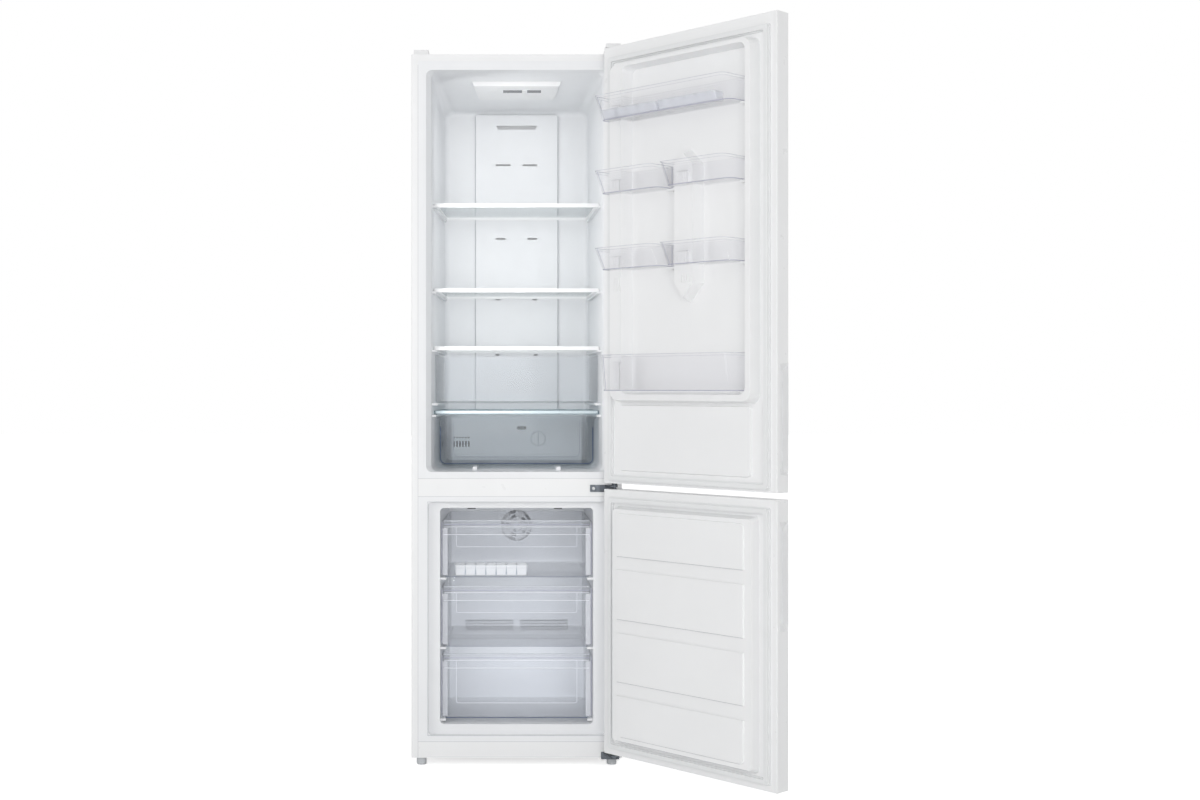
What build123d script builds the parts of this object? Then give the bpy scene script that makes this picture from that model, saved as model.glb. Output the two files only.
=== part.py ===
from build123d import *

import os
from math import cos, radians, sin

os.makedirs("parts", exist_ok=True)

# Frame, in mm: floor at Z = 0, middle of the cabinet at X = 0, front flange of the cabinet in the
# plane Y = 0, back of the cabinet towards +Y. Both doors stand open, on hinges at the right.

# ---------------------------------------------------------------- cabinet
CABINET_WIDTH = 595.0
CABINET_DEPTH = 570.0
CABINET_TOP = 2010.0
CABINET_BOTTOM = 23.0
SHEET = 1.0
FRONT_FLANGE = 19.0
REAR_FLANGE = 12.0
FOLD_RADIUS = 2.0
BASE_SHEET = 1.5
FRONT_RAIL_TOP = 68.6
RAIL_BEAD_Z = 36.0
MULLION_BOTTOM = 761.0
MULLION_TOP = 812.0
BAY_DEPTH = 165.0
BAY_TOP = 240.0
FIT = 0.1
SEAT = 0.3

HALF_WIDTH = CABINET_WIDTH / 2
INNER_HALF = HALF_WIDTH - SHEET - FIT
FLAT_HALF = HALF_WIDTH - FOLD_RADIUS - FIT
RIM_HALF = HALF_WIDTH - FRONT_FLANGE - FIT
BACK_SHEET_REAR = CABINET_DEPTH - SHEET - FIT
BAY_FRONT = CABINET_DEPTH - BAY_DEPTH
RAIL_BEAD_HALF = HALF_WIDTH - 117.5

# ---------------------------------------------------------------- liners
LINER = 1.5
FRIDGE_MOUTH_HALF = HALF_WIDTH - 41.5
FRIDGE_MOUTH_BOTTOM = MULLION_TOP + 18.5
FRIDGE_MOUTH_TOP = CABINET_TOP - 44.0
FRIDGE_MOUTH_RADIUS = 17.0
FRIDGE_THROAT = 22.0
FRIDGE_FRONT_HALF = FRIDGE_MOUTH_HALF - 13.0
FRIDGE_BACK_HALF = FRIDGE_FRONT_HALF - 17.0
FRIDGE_FLOOR = FRIDGE_MOUTH_BOTTOM + 1.5
FRIDGE_CEILING_FRONT = FRIDGE_MOUTH_TOP - 4.0
FRIDGE_CEILING_BACK = FRIDGE_CEILING_FRONT - 22.5
FRIDGE_BACK = CABINET_DEPTH - 70.0
FRIDGE_BACK_RADIUS = 18.0
FRIDGE_BACK_CORNER = 32.0

FREEZER_FRAME_HALF = HALF_WIDTH - 46.7
FREEZER_FRAME_BOTTOM = FRONT_RAIL_TOP + 17.0
FREEZER_FRAME_TOP = MULLION_BOTTOM - 15.5
FREEZER_FRAME_DEPTH = 22.0
FREEZER_FRONT_HALF = FREEZER_FRAME_HALF - 33.0
FREEZER_BACK_HALF = FREEZER_FRONT_HALF - 8.8
FREEZER_FLOOR = FREEZER_FRAME_BOTTOM + 27.4
FREEZER_CEILING = FREEZER_FRAME_TOP - 18.5
FREEZER_BACK = CABINET_DEPTH - 80.0
FREEZER_STEP_FRONT = BAY_FRONT - 60.0
FREEZER_STEP_TOP = BAY_TOP + 60.0
FREEZER_CORNER = 12.0

# ---------------------------------------------------------------- shelves and trays in the fridge
SHELF_TOPS = {"top": 1602.0, "middle": 1356.0, "bottom": 1188.0}
SHELF_FRONT = 106.0
SHELF_REAR = FRIDGE_BACK - 60.0
SHELF_SIDE_GAP = 1.5
SHELF_FRAME = 10.0
SHELF_HEIGHT = 11.0
GLASS = 4.0
CRISPER_BOTTOM = FRIDGE_FLOOR + 10.0
CRISPER_TOP = CRISPER_BOTTOM + 139.0
CRISPER_COVER_TOP = CRISPER_TOP + 21.0
RUNNER_WIDTH = 10.0
RUNNER_HEIGHT = 6.0
RUNNER_FRONT = 60.0
RUNNER_REAR = FRIDGE_BACK - 50.0
TRAY_WALL = 2.5
CHILLER_BOTTOM = CRISPER_COVER_TOP + 22.0
CHILLER_TOP = CHILLER_BOTTOM + 139.0
CHILLER_REAR = FRIDGE_BACK - 75.0
CRISPER_REAR = FRIDGE_BACK - 88.0
TRAY_FRONT = 112.0
CHILLER_SIDE_GAP = 3.0
CRISPER_SIDE_GAP = 12.5
TRAY_RADIUS = 16.0
TRAY_FLOOR_RADIUS = 6.0
TRAY_RUNNER_WIDTH = 15.0
RIM_THICKNESS = 2.0
CRISPER_RADIUS = 20.0
CRISPER_BEAD_X = FRIDGE_FRONT_HALF - 48.0

# ---------------------------------------------------------------- freezer drawers and ice tray
EVAPORATOR_COVER_FRONT = FREEZER_BACK - 60.0
# freezer drawers: bottom, top, rear, and how far the loop on the front reaches down
FREEZER_DRAWERS = {
    "top": (527.0, 690.0, EVAPORATOR_COVER_FRONT - 15.0, 76.0),
    "middle": (329.0, 502.0, EVAPORATOR_COVER_FRONT - 15.0, 76.0),
    "bottom": (125.0, 309.0, FREEZER_STEP_FRONT - 12.0, 141.0),
}
DRAWER_FRONT = 50.0
DRAWER_FACE = 4.0
DRAWER_FACE_HALF = FREEZER_FRONT_HALF - 4.8
DRAWER_SIDE_GAP = 6.0
DRAWER_RADIUS = 14.0
DRAWER_LIP = 10.0
DRAWER_RIM_DROP = 4.0
DRAWER_RIDGE_DROPS = (18.0, 40.0)
LOOP_HALF = DRAWER_FACE_HALF - 41.0
RIDGE = 1.6
ICE_TRAY_LEFT = 39.8 - FREEZER_FRONT_HALF
ICE_CELL = 29.5
ICE_COLUMNS = 7
ICE_ROWS = 2
ICE_TRAY_HEIGHT = 28.0
ICE_TRAY_FRONT = 75.0

# ---------------------------------------------------------------- doors
HINGE_X = HALF_WIDTH - 23.2
HINGE_Y = -36.0
DOOR_OPEN = 133.7
DOOR_WIDTH = CABINET_WIDTH - 2.0
DOOR_THICKNESS = 50.5
HINGE_FROM_EDGE = 17.0
HINGE_FROM_INNER_FACE = 25.0
UPPER_DOOR_BOTTOM = MULLION_TOP - 9.5
UPPER_DOOR_TOP = CABINET_TOP + 7.0
LOWER_DOOR_BOTTOM = CABINET_BOTTOM + 25.0
LOWER_DOOR_TOP = MULLION_BOTTOM + 24.0
DOOR_LIP = 12.0
DOOR_EDGE_RADIUS = 6.0
END_CAP = 14.0
GRIP_FRONT = 46.0
GRIP_REAR = 13.0
GRIP_DEPTH = 18.0
GRIP_HEIGHTS = {"upper": (847.0, 1130.0), "lower": (452.0, 729.0)}
GASKET_EDGE = 20.0
GASKET_WIDTH = 18.0
GASKET_HEIGHT = 10.7
GASKET_BASE = 4.0
DYKE_HEIGHT = 32.0
PLUG_HEIGHT = 24.0

# ---------------------------------------------------------------- door bins
BIN_WALL = 2.0
BIN_BACK = 5.0
BIN_OVER_DYKE = 41.0
RIM_BAND = 7.0
RIM_PROUD = 0.8
END_PAD = 3.0
END_PAD_FRONT = 22.0
END_PAD_REAR = 8.0
END_PAD_RISE = 16.0

# ---------------------------------------------------------------- hinges, feet, rollers
PIN_RADIUS = 5.0
PIN_PLAY = 0.3
HINGE_PLATE = 3.0
FOOT_X = HALF_WIDTH - 27.7
FOOT_Y = 26.0
FOOT_RADIUS = 14.0
STUD_RADIUS = 4.0
ROLLER_X = HALF_WIDTH - 62.5
ROLLER_Y = CABINET_DEPTH - 40.0
ROLLER_RADIUS = 15.0
ROLLER_WIDTH = 16.0
AXLE_RADIUS = 3.0


# ================================================================ planes and helpers
DOOR_ALONG = (-cos(radians(DOOR_OPEN)), -sin(radians(DOOR_OPEN)), 0)
DOOR_INWARD = (-sin(radians(DOOR_OPEN)), cos(radians(DOOR_OPEN)), 0)


def level(z):
    """Level plane at height z: local x is X and local y is Y."""
    return Plane.XY.offset(z)


def upright(y):
    """Upright plane at depth y, facing the front: local x is X, local y is Z."""
    return Plane.XZ.offset(-y)


def across(x):
    """Upright plane at X = x, facing right: local x is Y, local y is Z."""
    return Plane.YZ.offset(x)


def door_point(u, v, z=0.0):
    """Point of the open door, u from its hinge edge and v out of its inner face."""
    along = u - HINGE_FROM_EDGE
    inward = v + HINGE_FROM_INNER_FACE
    return (
        HINGE_X + DOOR_ALONG[0] * along + DOOR_INWARD[0] * inward,
        HINGE_Y + DOOR_ALONG[1] * along + DOOR_INWARD[1] * inward,
        z,
    )


def door_level(z):
    """Level plane of the open door: local x is u, local y is -v."""
    return Plane(origin=door_point(0, 0, z), x_dir=DOOR_ALONG, z_dir=(0, 0, 1))


def door_face(v):
    """Plane parallel to the open door's inner face: local x is u, local y is Z, facing inwards."""
    return Plane(origin=door_point(0, v), x_dir=DOOR_ALONG, z_dir=DOOR_INWARD)


def save(piece, name):
    """Label a finished piece and write it to its own file."""
    piece.part.label = name
    export_step(piece.part, f"parts/{name}.step")


def rectangle(left, right, bottom, top, radius=0.0, mode=Mode.ADD):
    """Rectangle in the current sketch by its four sides, with rounded corners if a radius is given."""
    with Locations(((left + right) / 2, (bottom + top) / 2)):
        if radius > 0:
            RectangleRounded(right - left, top - bottom, radius, mode=mode)
        else:
            Rectangle(right - left, top - bottom, mode=mode)


def fridge_half(y):
    """Half width of the fridge compartment at depth y."""
    share = (y - FRIDGE_THROAT) / (FRIDGE_BACK - FRIDGE_THROAT)
    return FRIDGE_FRONT_HALF + (FRIDGE_BACK_HALF - FRIDGE_FRONT_HALF) * share


def fridge_ceiling(y):
    """Height of the fridge compartment's ceiling at depth y."""
    share = (y - FRIDGE_THROAT) / (FRIDGE_BACK - FRIDGE_THROAT)
    return FRIDGE_CEILING_FRONT + (FRIDGE_CEILING_BACK - FRIDGE_CEILING_FRONT) * share


def freezer_half(y):
    """Half width of the freezer compartment at depth y."""
    share = (y - FREEZER_FRAME_DEPTH) / (FREEZER_BACK - FREEZER_FRAME_DEPTH)
    return FREEZER_FRONT_HALF + (FREEZER_BACK_HALF - FREEZER_FRONT_HALF) * share


def fridge_space(grow):
    """The fridge compartment as a solid: flared mouth, drafted walls, rounded back."""
    with BuildPart() as space:
        with BuildSketch(upright(FRIDGE_THROAT)):
            rectangle(
                -FRIDGE_FRONT_HALF - grow,
                FRIDGE_FRONT_HALF + grow,
                FRIDGE_FLOOR - grow,
                FRIDGE_CEILING_FRONT + grow,
                FRIDGE_MOUTH_RADIUS + grow,
            )
        with BuildSketch(upright(FRIDGE_BACK + grow)):
            rectangle(
                -FRIDGE_BACK_HALF - grow,
                FRIDGE_BACK_HALF + grow,
                FRIDGE_FLOOR - grow,
                FRIDGE_CEILING_BACK + grow,
                FRIDGE_BACK_CORNER + grow,
            )
        loft(ruled=True)
        back_edges = space.faces().sort_by(Axis.Y)[-1].edges()
        fillet(back_edges, FRIDGE_BACK_RADIUS + grow)
        with BuildSketch(upright(0)):
            rectangle(
                -FRIDGE_MOUTH_HALF - grow,
                FRIDGE_MOUTH_HALF + grow,
                FRIDGE_MOUTH_BOTTOM - grow,
                FRIDGE_MOUTH_TOP + grow,
                FRIDGE_MOUTH_RADIUS + grow,
            )
        with BuildSketch(upright(FRIDGE_THROAT)):
            rectangle(
                -FRIDGE_FRONT_HALF - grow,
                FRIDGE_FRONT_HALF + grow,
                FRIDGE_FLOOR - grow,
                FRIDGE_CEILING_FRONT + grow,
                FRIDGE_MOUTH_RADIUS + grow,
            )
        loft(ruled=True)
    return space.part


def freezer_space(grow):
    """The freezer compartment as a solid: a shallow wide frame, drafted walls, a step over the bay."""
    with BuildPart() as space:
        with BuildSketch(upright(FREEZER_FRAME_DEPTH)):
            rectangle(
                -FREEZER_FRONT_HALF - grow,
                FREEZER_FRONT_HALF + grow,
                FREEZER_FLOOR - grow,
                FREEZER_CEILING + grow,
                FREEZER_CORNER + grow,
            )
        with BuildSketch(upright(FREEZER_BACK + grow)):
            rectangle(
                -FREEZER_BACK_HALF - grow,
                FREEZER_BACK_HALF + grow,
                FREEZER_FLOOR - grow,
                FREEZER_CEILING + grow,
                FREEZER_CORNER + grow,
            )
        loft(ruled=True)
        step_front = FREEZER_STEP_FRONT + grow
        with BuildSketch(across(0)):
            rectangle(
                step_front,
                FREEZER_BACK + 50,
                FREEZER_FLOOR - 50,
                FREEZER_STEP_TOP - grow,
            )
        extrude(amount=FREEZER_FRONT_HALF * 2, both=True, mode=Mode.SUBTRACT)
        with BuildSketch(upright(0)):
            rectangle(
                -FREEZER_FRAME_HALF - grow,
                FREEZER_FRAME_HALF + grow,
                FREEZER_FRAME_BOTTOM - grow,
                FREEZER_FRAME_TOP + grow,
                FREEZER_CORNER + grow,
            )
        extrude(amount=-FREEZER_FRAME_DEPTH - grow)
    return space.part


# ================================================================ cabinet shell
def make_side_panel(name, side):
    """Painted side sheet, folded inwards along its front and back edges."""
    edge = side * HALF_WIDTH
    inner = side * (HALF_WIDTH - SHEET)
    front_end = side * (HALF_WIDTH - FRONT_FLANGE)
    rear_end = side * (HALF_WIDTH - REAR_FLANGE)
    rear = CABINET_DEPTH
    bend = FOLD_RADIUS - SHEET
    with BuildPart() as panel:
        with BuildSketch(level(CABINET_BOTTOM)):
            with BuildLine():
                FilletPolyline(
                    (front_end, 0),
                    (edge, 0),
                    (edge, rear),
                    (rear_end, rear),
                    (rear_end, rear - SHEET),
                    (inner, rear - SHEET),
                    (inner, SHEET),
                    (front_end, SHEET),
                    radius=[0, FOLD_RADIUS, FOLD_RADIUS, 0, 0, bend, bend, 0],
                    close=True,
                )
            make_face()
        extrude(amount=CABINET_TOP - CABINET_BOTTOM)
    save(panel, name)


def make_top_panel():
    """Painted top sheet with a front flange between the side flanges."""
    with BuildPart() as top_panel:
        with BuildSketch(level(CABINET_TOP - SHEET)):
            rectangle(-INNER_HALF, INNER_HALF, 0, CABINET_DEPTH)
        extrude(amount=SHEET)
        for corner in (-1, 1):
            with BuildSketch(level(CABINET_TOP - SHEET)):
                rectangle(
                    min(corner * INNER_HALF, corner * RIM_HALF),
                    max(corner * INNER_HALF, corner * RIM_HALF),
                    0,
                    FOLD_RADIUS,
                )
            extrude(amount=SHEET, mode=Mode.SUBTRACT)
            rear_end = HALF_WIDTH - REAR_FLANGE - FIT
            with BuildSketch(level(CABINET_TOP - SHEET)):
                rectangle(
                    min(corner * INNER_HALF, corner * rear_end),
                    max(corner * INNER_HALF, corner * rear_end),
                    CABINET_DEPTH - FOLD_RADIUS,
                    CABINET_DEPTH,
                )
            extrude(amount=SHEET, mode=Mode.SUBTRACT)
        with BuildSketch(upright(0)):
            rectangle(-RIM_HALF, RIM_HALF, CABINET_TOP - FRONT_FLANGE, CABINET_TOP)
        extrude(amount=-SHEET)
        with BuildSketch(upright(CABINET_DEPTH - SHEET)):
            rectangle(-rear_end, rear_end, CABINET_TOP - REAR_FLANGE, CABINET_TOP)
        extrude(amount=-SHEET)
    save(top_panel, "top_panel")


def make_back_panel():
    """Flat back sheet between the rear flanges."""
    with BuildPart() as back_panel:
        with BuildSketch(upright(BACK_SHEET_REAR - SHEET)):
            rectangle(-FLAT_HALF, FLAT_HALF, BAY_TOP + FIT, CABINET_TOP - SHEET - FIT)
        extrude(amount=-SHEET)
    save(back_panel, "back_panel")


def make_base_frame():
    """Floor sheet with the front rail, the wall of the bay, foot bosses and roller ears."""
    plate_top = CABINET_BOTTOM + BASE_SHEET
    bay_rear = BACK_SHEET_REAR
    with BuildPart() as base_frame:
        with BuildSketch(across(-INNER_HALF)):
            rectangle(FOLD_RADIUS + FIT, bay_rear - SHEET, CABINET_BOTTOM, plate_top)
            rectangle(BAY_FRONT, BAY_FRONT + BASE_SHEET, CABINET_BOTTOM, BAY_TOP - FIT)
            rectangle(BAY_FRONT, bay_rear - SHEET, BAY_TOP - FIT - BASE_SHEET, BAY_TOP - FIT)
        extrude(amount=2 * INNER_HALF)
        with BuildSketch(across(-RIM_HALF)):
            rectangle(0, FOLD_RADIUS + 1, CABINET_BOTTOM, plate_top)
            rectangle(0, SHEET, CABINET_BOTTOM, FRONT_RAIL_TOP)
        extrude(amount=2 * RIM_HALF)
        with BuildSketch(upright(0)):
            rectangle(-RAIL_BEAD_HALF, RAIL_BEAD_HALF, RAIL_BEAD_Z - 1.5, RAIL_BEAD_Z + 1.5)
        extrude(amount=-SHEET / 2, mode=Mode.SUBTRACT)
        with BuildSketch(level(plate_top)):
            with Locations((-FOOT_X, FOOT_Y), (FOOT_X, FOOT_Y)):
                Circle(STUD_RADIUS + 5)
        extrude(amount=16)
        with BuildSketch(level(CABINET_BOTTOM)):
            with Locations((-FOOT_X, FOOT_Y), (FOOT_X, FOOT_Y)):
                Circle(STUD_RADIUS + SEAT)
        extrude(amount=30, mode=Mode.SUBTRACT)
        ear_gap = ROLLER_WIDTH / 2 + SEAT
        for middle in (-ROLLER_X, ROLLER_X):
            for ear in (middle - ear_gap - 2, middle + ear_gap):
                with BuildSketch(across(ear)):
                    with BuildLine():
                        Polyline(
                            (ROLLER_Y - 18, CABINET_BOTTOM),
                            (ROLLER_Y - 6, ROLLER_RADIUS - 6),
                            (ROLLER_Y + 6, ROLLER_RADIUS - 6),
                            (ROLLER_Y + 18, CABINET_BOTTOM),
                            close=True,
                        )
                    make_face()
                extrude(amount=2)
            with BuildSketch(across(middle - ear_gap - 2)):
                with Locations((ROLLER_Y, ROLLER_RADIUS)):
                    Circle(AXLE_RADIUS)
            extrude(amount=2 * ear_gap + 4)
        roller_slot = ROLLER_RADIUS + 3
        for middle in (-ROLLER_X, ROLLER_X):
            with BuildSketch(level(CABINET_BOTTOM)):
                rectangle(
                    middle - ear_gap,
                    middle + ear_gap,
                    ROLLER_Y - roller_slot,
                    ROLLER_Y + roller_slot,
                )
            extrude(amount=BASE_SHEET, mode=Mode.SUBTRACT)
    save(base_frame, "base_frame")


def make_cabinet_foam(fridge_cut, freezer_cut):
    """Foam that fills the room between the steel shell and the two liners."""
    foam_half = INNER_HALF - FIT
    with BuildPart() as cabinet_foam:
        with BuildSketch(upright(LINER + FIT)):
            rectangle(
                -foam_half,
                foam_half,
                CABINET_BOTTOM + BASE_SHEET + FIT,
                CABINET_TOP - SHEET - FIT,
            )
        extrude(amount=-(BACK_SHEET_REAR - SHEET - FIT - LINER - FIT))
        add(fridge_cut, mode=Mode.SUBTRACT)
        add(freezer_cut, mode=Mode.SUBTRACT)
        with BuildSketch(across(-HALF_WIDTH)):
            rectangle(BAY_FRONT - FIT, CABINET_DEPTH, 0, BAY_TOP)
        extrude(amount=CABINET_WIDTH, mode=Mode.SUBTRACT)
        with BuildSketch(level(CABINET_BOTTOM)):
            with Locations((-FOOT_X, FOOT_Y), (FOOT_X, FOOT_Y)):
                Circle(STUD_RADIUS + 5 + FIT)
        extrude(amount=25, mode=Mode.SUBTRACT)
    save(cabinet_foam, "cabinet_foam")


def runner_pair(half, inset, top, front, rear, limit):
    """A level runner on each side wall, inside the liner's outer shape; half is the wall's half width."""
    with BuildPart() as runners:
        for side in (-1, 1):
            with BuildSketch(level(top - RUNNER_HEIGHT)):
                Polygon(
                    (side * (half(front) + LINER / 2), front),
                    (side * (half(front) - inset), front),
                    (side * (half(rear) - inset), rear),
                    (side * (half(rear) + LINER / 2), rear),
                    align=None,
                )
            extrude(amount=RUNNER_HEIGHT)
        add(limit, mode=Mode.INTERSECT)
    return runners.part


def make_fridge_liner(outer, inner):
    """Moulded liner of the fridge with its front rim and the runners for shelves and trays."""
    with BuildPart() as fridge_liner:
        add(outer)
        with BuildSketch(upright(0)):
            rectangle(-RIM_HALF, RIM_HALF, MULLION_TOP + FIT, CABINET_TOP - FRONT_FLANGE - FIT)
        extrude(amount=-LINER)
        add(inner, mode=Mode.SUBTRACT)
        rests = [(top - SHELF_HEIGHT, RUNNER_WIDTH) for top in SHELF_TOPS.values()]
        rests += [(CRISPER_COVER_TOP - SHELF_HEIGHT, RUNNER_WIDTH)]
        rests += [(CHILLER_BOTTOM, TRAY_RUNNER_WIDTH)]
        for rest, width in rests:
            add(runner_pair(fridge_half, width, rest - SEAT, RUNNER_FRONT, RUNNER_REAR, outer))
        with BuildSketch(level(FRIDGE_FLOOR - LINER / 2)):
            for x in (-120, 120):
                rectangle(x - 6, x + 6, RUNNER_FRONT, CRISPER_REAR)
        extrude(amount=CRISPER_BOTTOM - SEAT - FRIDGE_FLOOR + LINER / 2)
    save(fridge_liner, "fridge_liner")


def make_freezer_liner(outer, inner):
    """Moulded liner of the freezer with its front rim and the runners for the drawers."""
    with BuildPart() as freezer_liner:
        add(outer)
        with BuildSketch(upright(0)):
            rectangle(-RIM_HALF, RIM_HALF, FRONT_RAIL_TOP + FIT, MULLION_BOTTOM - FIT)
        extrude(amount=-LINER)
        add(inner, mode=Mode.SUBTRACT)
        for bottom, _, rear, _ in FREEZER_DRAWERS.values():
            inset = RUNNER_WIDTH + DRAWER_SIDE_GAP
            add(runner_pair(freezer_half, inset, bottom - SEAT, 40, rear - 10, outer))
    save(freezer_liner, "freezer_liner")


def make_mullion_cover():
    """Painted strip over the bar between the two compartments."""
    with BuildPart() as mullion_cover:
        with BuildSketch(upright(0)):
            rectangle(-RIM_HALF, RIM_HALF, MULLION_BOTTOM, MULLION_TOP)
        extrude(amount=-LINER)
    save(mullion_cover, "mullion_cover")


# ================================================================ air system
DUCT_HALF = 129.7
DUCT_TOP = FRIDGE_CEILING_BACK - 11.5
DUCT_FRONT = FRIDGE_BACK - 14.0
DUCT_WALL = 2.0
BLOCK_HALF = FRIDGE_BACK_HALF - 23.0
BLOCK_FRONT = FRIDGE_BACK - 60.0
BLOCK_TOP = CRISPER_TOP + 3.0
KNOB_X = 67.4
KNOB_Z = BLOCK_TOP - 74.0
KNOB_RADIUS = 22.8
SPINDLE_RADIUS = 4.0
DUCT_SLOTS = (
    (DUCT_TOP - 159.0, -65.6, -19.2),
    (DUCT_TOP - 159.0, 18.9, 64.3),
    (1537.0, -65.6, -35.0),
    (1537.0, 34.0, 64.3),
    (1346.5, -65.6, -50.8),
    (1346.5, 49.5, 64.3),
    (1171.5, -65.9, -55.5),
    (1171.5, 53.6, 65.9),
)
SLOT_HEIGHT = 6.0
GRILLE_LEFT = 8.0 - BLOCK_HALF
GRILLE_PITCH = 9.2
GRILLE_COLUMNS = 6


def make_duct_cover(clear_space):
    """Cover of the air duct: a tall shallow shell over a deeper block behind the crisper drawer."""
    with BuildPart() as duct_cover:
        with BuildSketch(upright(DUCT_FRONT)):
            rectangle(-DUCT_HALF, DUCT_HALF, BLOCK_TOP - 30, DUCT_TOP, 8)
        extrude(amount=-(FRIDGE_BACK - DUCT_FRONT))
        front_edges = duct_cover.faces().sort_by(Axis.Y)[0].edges()
        fillet(front_edges, 3)
        with BuildSketch(upright(BLOCK_FRONT)):
            rectangle(-BLOCK_HALF, BLOCK_HALF, FRIDGE_FLOOR, BLOCK_TOP, 8)
        extrude(amount=-(FRIDGE_BACK - BLOCK_FRONT))
        add(clear_space, mode=Mode.INTERSECT)
        with BuildSketch(upright(DUCT_FRONT + DUCT_WALL)):
            rectangle(
                -DUCT_HALF + DUCT_WALL,
                DUCT_HALF - DUCT_WALL,
                BLOCK_TOP - 40,
                DUCT_TOP - DUCT_WALL,
                6,
            )
        extrude(amount=-(FRIDGE_BACK - DUCT_FRONT), mode=Mode.SUBTRACT)
        with BuildSketch(upright(BLOCK_FRONT + DUCT_WALL)):
            rectangle(
                -BLOCK_HALF + DUCT_WALL,
                BLOCK_HALF - DUCT_WALL,
                FRIDGE_FLOOR + 2 * DUCT_WALL,
                BLOCK_TOP - DUCT_WALL,
                6,
            )
        extrude(amount=-(FRIDGE_BACK - BLOCK_FRONT - 24), mode=Mode.SUBTRACT)
        with BuildSketch(upright(DUCT_FRONT)):
            with Locations((0, DUCT_TOP - 40.5)):
                Trapezoid(128, 12, 60, rotation=180)
            for z, left, right in DUCT_SLOTS:
                rectangle(left, right, z - SLOT_HEIGHT / 2, z + SLOT_HEIGHT / 2, 2.5)
        extrude(amount=-2 * DUCT_WALL, mode=Mode.SUBTRACT)
        with BuildSketch(upright(BLOCK_FRONT)):
            for column in range(GRILLE_COLUMNS):
                middle = GRILLE_LEFT + column * GRILLE_PITCH
                rectangle(middle - 2.4, middle + 2.4, KNOB_Z + 0.7, KNOB_Z + 5.5)
                rectangle(middle - 2.4, middle + 2.4, KNOB_Z - 26, KNOB_Z - 7.8)
            rectangle(0.6, 30, KNOB_Z + 28, KNOB_Z + 39, 5.4)
            with Locations((KNOB_X, KNOB_Z)):
                Circle(SPINDLE_RADIUS + SEAT)
        extrude(amount=-2 * DUCT_WALL, mode=Mode.SUBTRACT)
    save(duct_cover, "duct_cover")


def make_airflow_knob():
    """Round knob with a grip bar across its face and a spindle behind."""
    with BuildPart() as airflow_knob:
        with BuildSketch(upright(BLOCK_FRONT - SEAT)):
            with Locations((KNOB_X, KNOB_Z)):
                Circle(KNOB_RADIUS)
        extrude(amount=4)
        with BuildSketch(upright(BLOCK_FRONT - SEAT - 4)):
            with Locations((KNOB_X, KNOB_Z)):
                Circle(KNOB_RADIUS - 1.5)
        extrude(amount=6, taper=8)
        with BuildSketch(upright(BLOCK_FRONT - SEAT - 10)):
            with Locations((KNOB_X, KNOB_Z)):
                SlotOverall(2 * KNOB_RADIUS - 6, 5)
        extrude(amount=4)
        with BuildSketch(upright(BLOCK_FRONT - SEAT)):
            with Locations((KNOB_X, KNOB_Z)):
                Circle(SPINDLE_RADIUS)
        extrude(amount=-14)
    save(airflow_knob, "airflow_knob")


FAN_Z = 640.0
FAN_RADIUS = 46.0
FAN_FRONT = EVAPORATOR_COVER_FRONT + 10.0
FAN_DEPTH = 16.0
MOTOR_FRONT = FAN_FRONT + FAN_DEPTH + 3
MOTOR_SHAFT = 2.5
EVAPORATOR_HALF = FREEZER_BACK_HALF - 20.0
EVAPORATOR_FINS = 12
EVAPORATOR_PITCH = 29.0


def make_evaporator_cover():
    """Freezer back wall in front of the evaporator, with the fan's grille and air slots."""
    half = freezer_half(EVAPORATOR_COVER_FRONT + 3) - SEAT
    with BuildPart() as evaporator_cover:
        with BuildSketch(upright(EVAPORATOR_COVER_FRONT)):
            rectangle(-half, half, FREEZER_STEP_TOP + SEAT, FREEZER_CEILING - SEAT, FREEZER_CORNER)
        extrude(amount=-3)
        with BuildSketch(upright(EVAPORATOR_COVER_FRONT)):
            for ring in range(3):
                with Locations((0, FAN_Z)):
                    Circle(FAN_RADIUS + 2 - 14 * ring)
                    Circle(FAN_RADIUS - 7 - 14 * ring, mode=Mode.SUBTRACT)
            with Locations((0, FAN_Z)):
                Rectangle(2 * FAN_RADIUS + 8, 4, mode=Mode.SUBTRACT)
                Rectangle(4, 2 * FAN_RADIUS + 8, mode=Mode.SUBTRACT)
            for row in range(4):
                z = FREEZER_STEP_TOP + 14 + row * 9
                rectangle(-half + 50, -10, z, z + 5)
                rectangle(10, half - 50, z, z + 5)
        extrude(amount=-3, mode=Mode.SUBTRACT)
    save(evaporator_cover, "evaporator_cover")


def make_evaporator():
    """Finned tube evaporator standing in the room behind its cover."""
    front = EVAPORATOR_COVER_FRONT + 8
    rear = FREEZER_BACK - 4
    bottom = FREEZER_STEP_TOP + SEAT
    height = 230
    with BuildPart() as evaporator:
        for column in range(EVAPORATOR_FINS):
            x = (column - (EVAPORATOR_FINS - 1) / 2) * EVAPORATOR_PITCH
            with BuildSketch(across(x)):
                rectangle(front, rear, bottom + 14, bottom + height)
            extrude(amount=0.8)
        for end in (-EVAPORATOR_HALF, EVAPORATOR_HALF - 2):
            with BuildSketch(across(end)):
                rectangle(front, rear, bottom, bottom + height + 10)
            extrude(amount=2)
        for row in range(3):
            for depth in (front + 13, rear - 13):
                with BuildSketch(across(-EVAPORATOR_HALF)):
                    with Locations((depth, bottom + 45 + row * 70)):
                        Circle(4)
                extrude(amount=2 * EVAPORATOR_HALF)
    save(evaporator, "evaporator")


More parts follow.
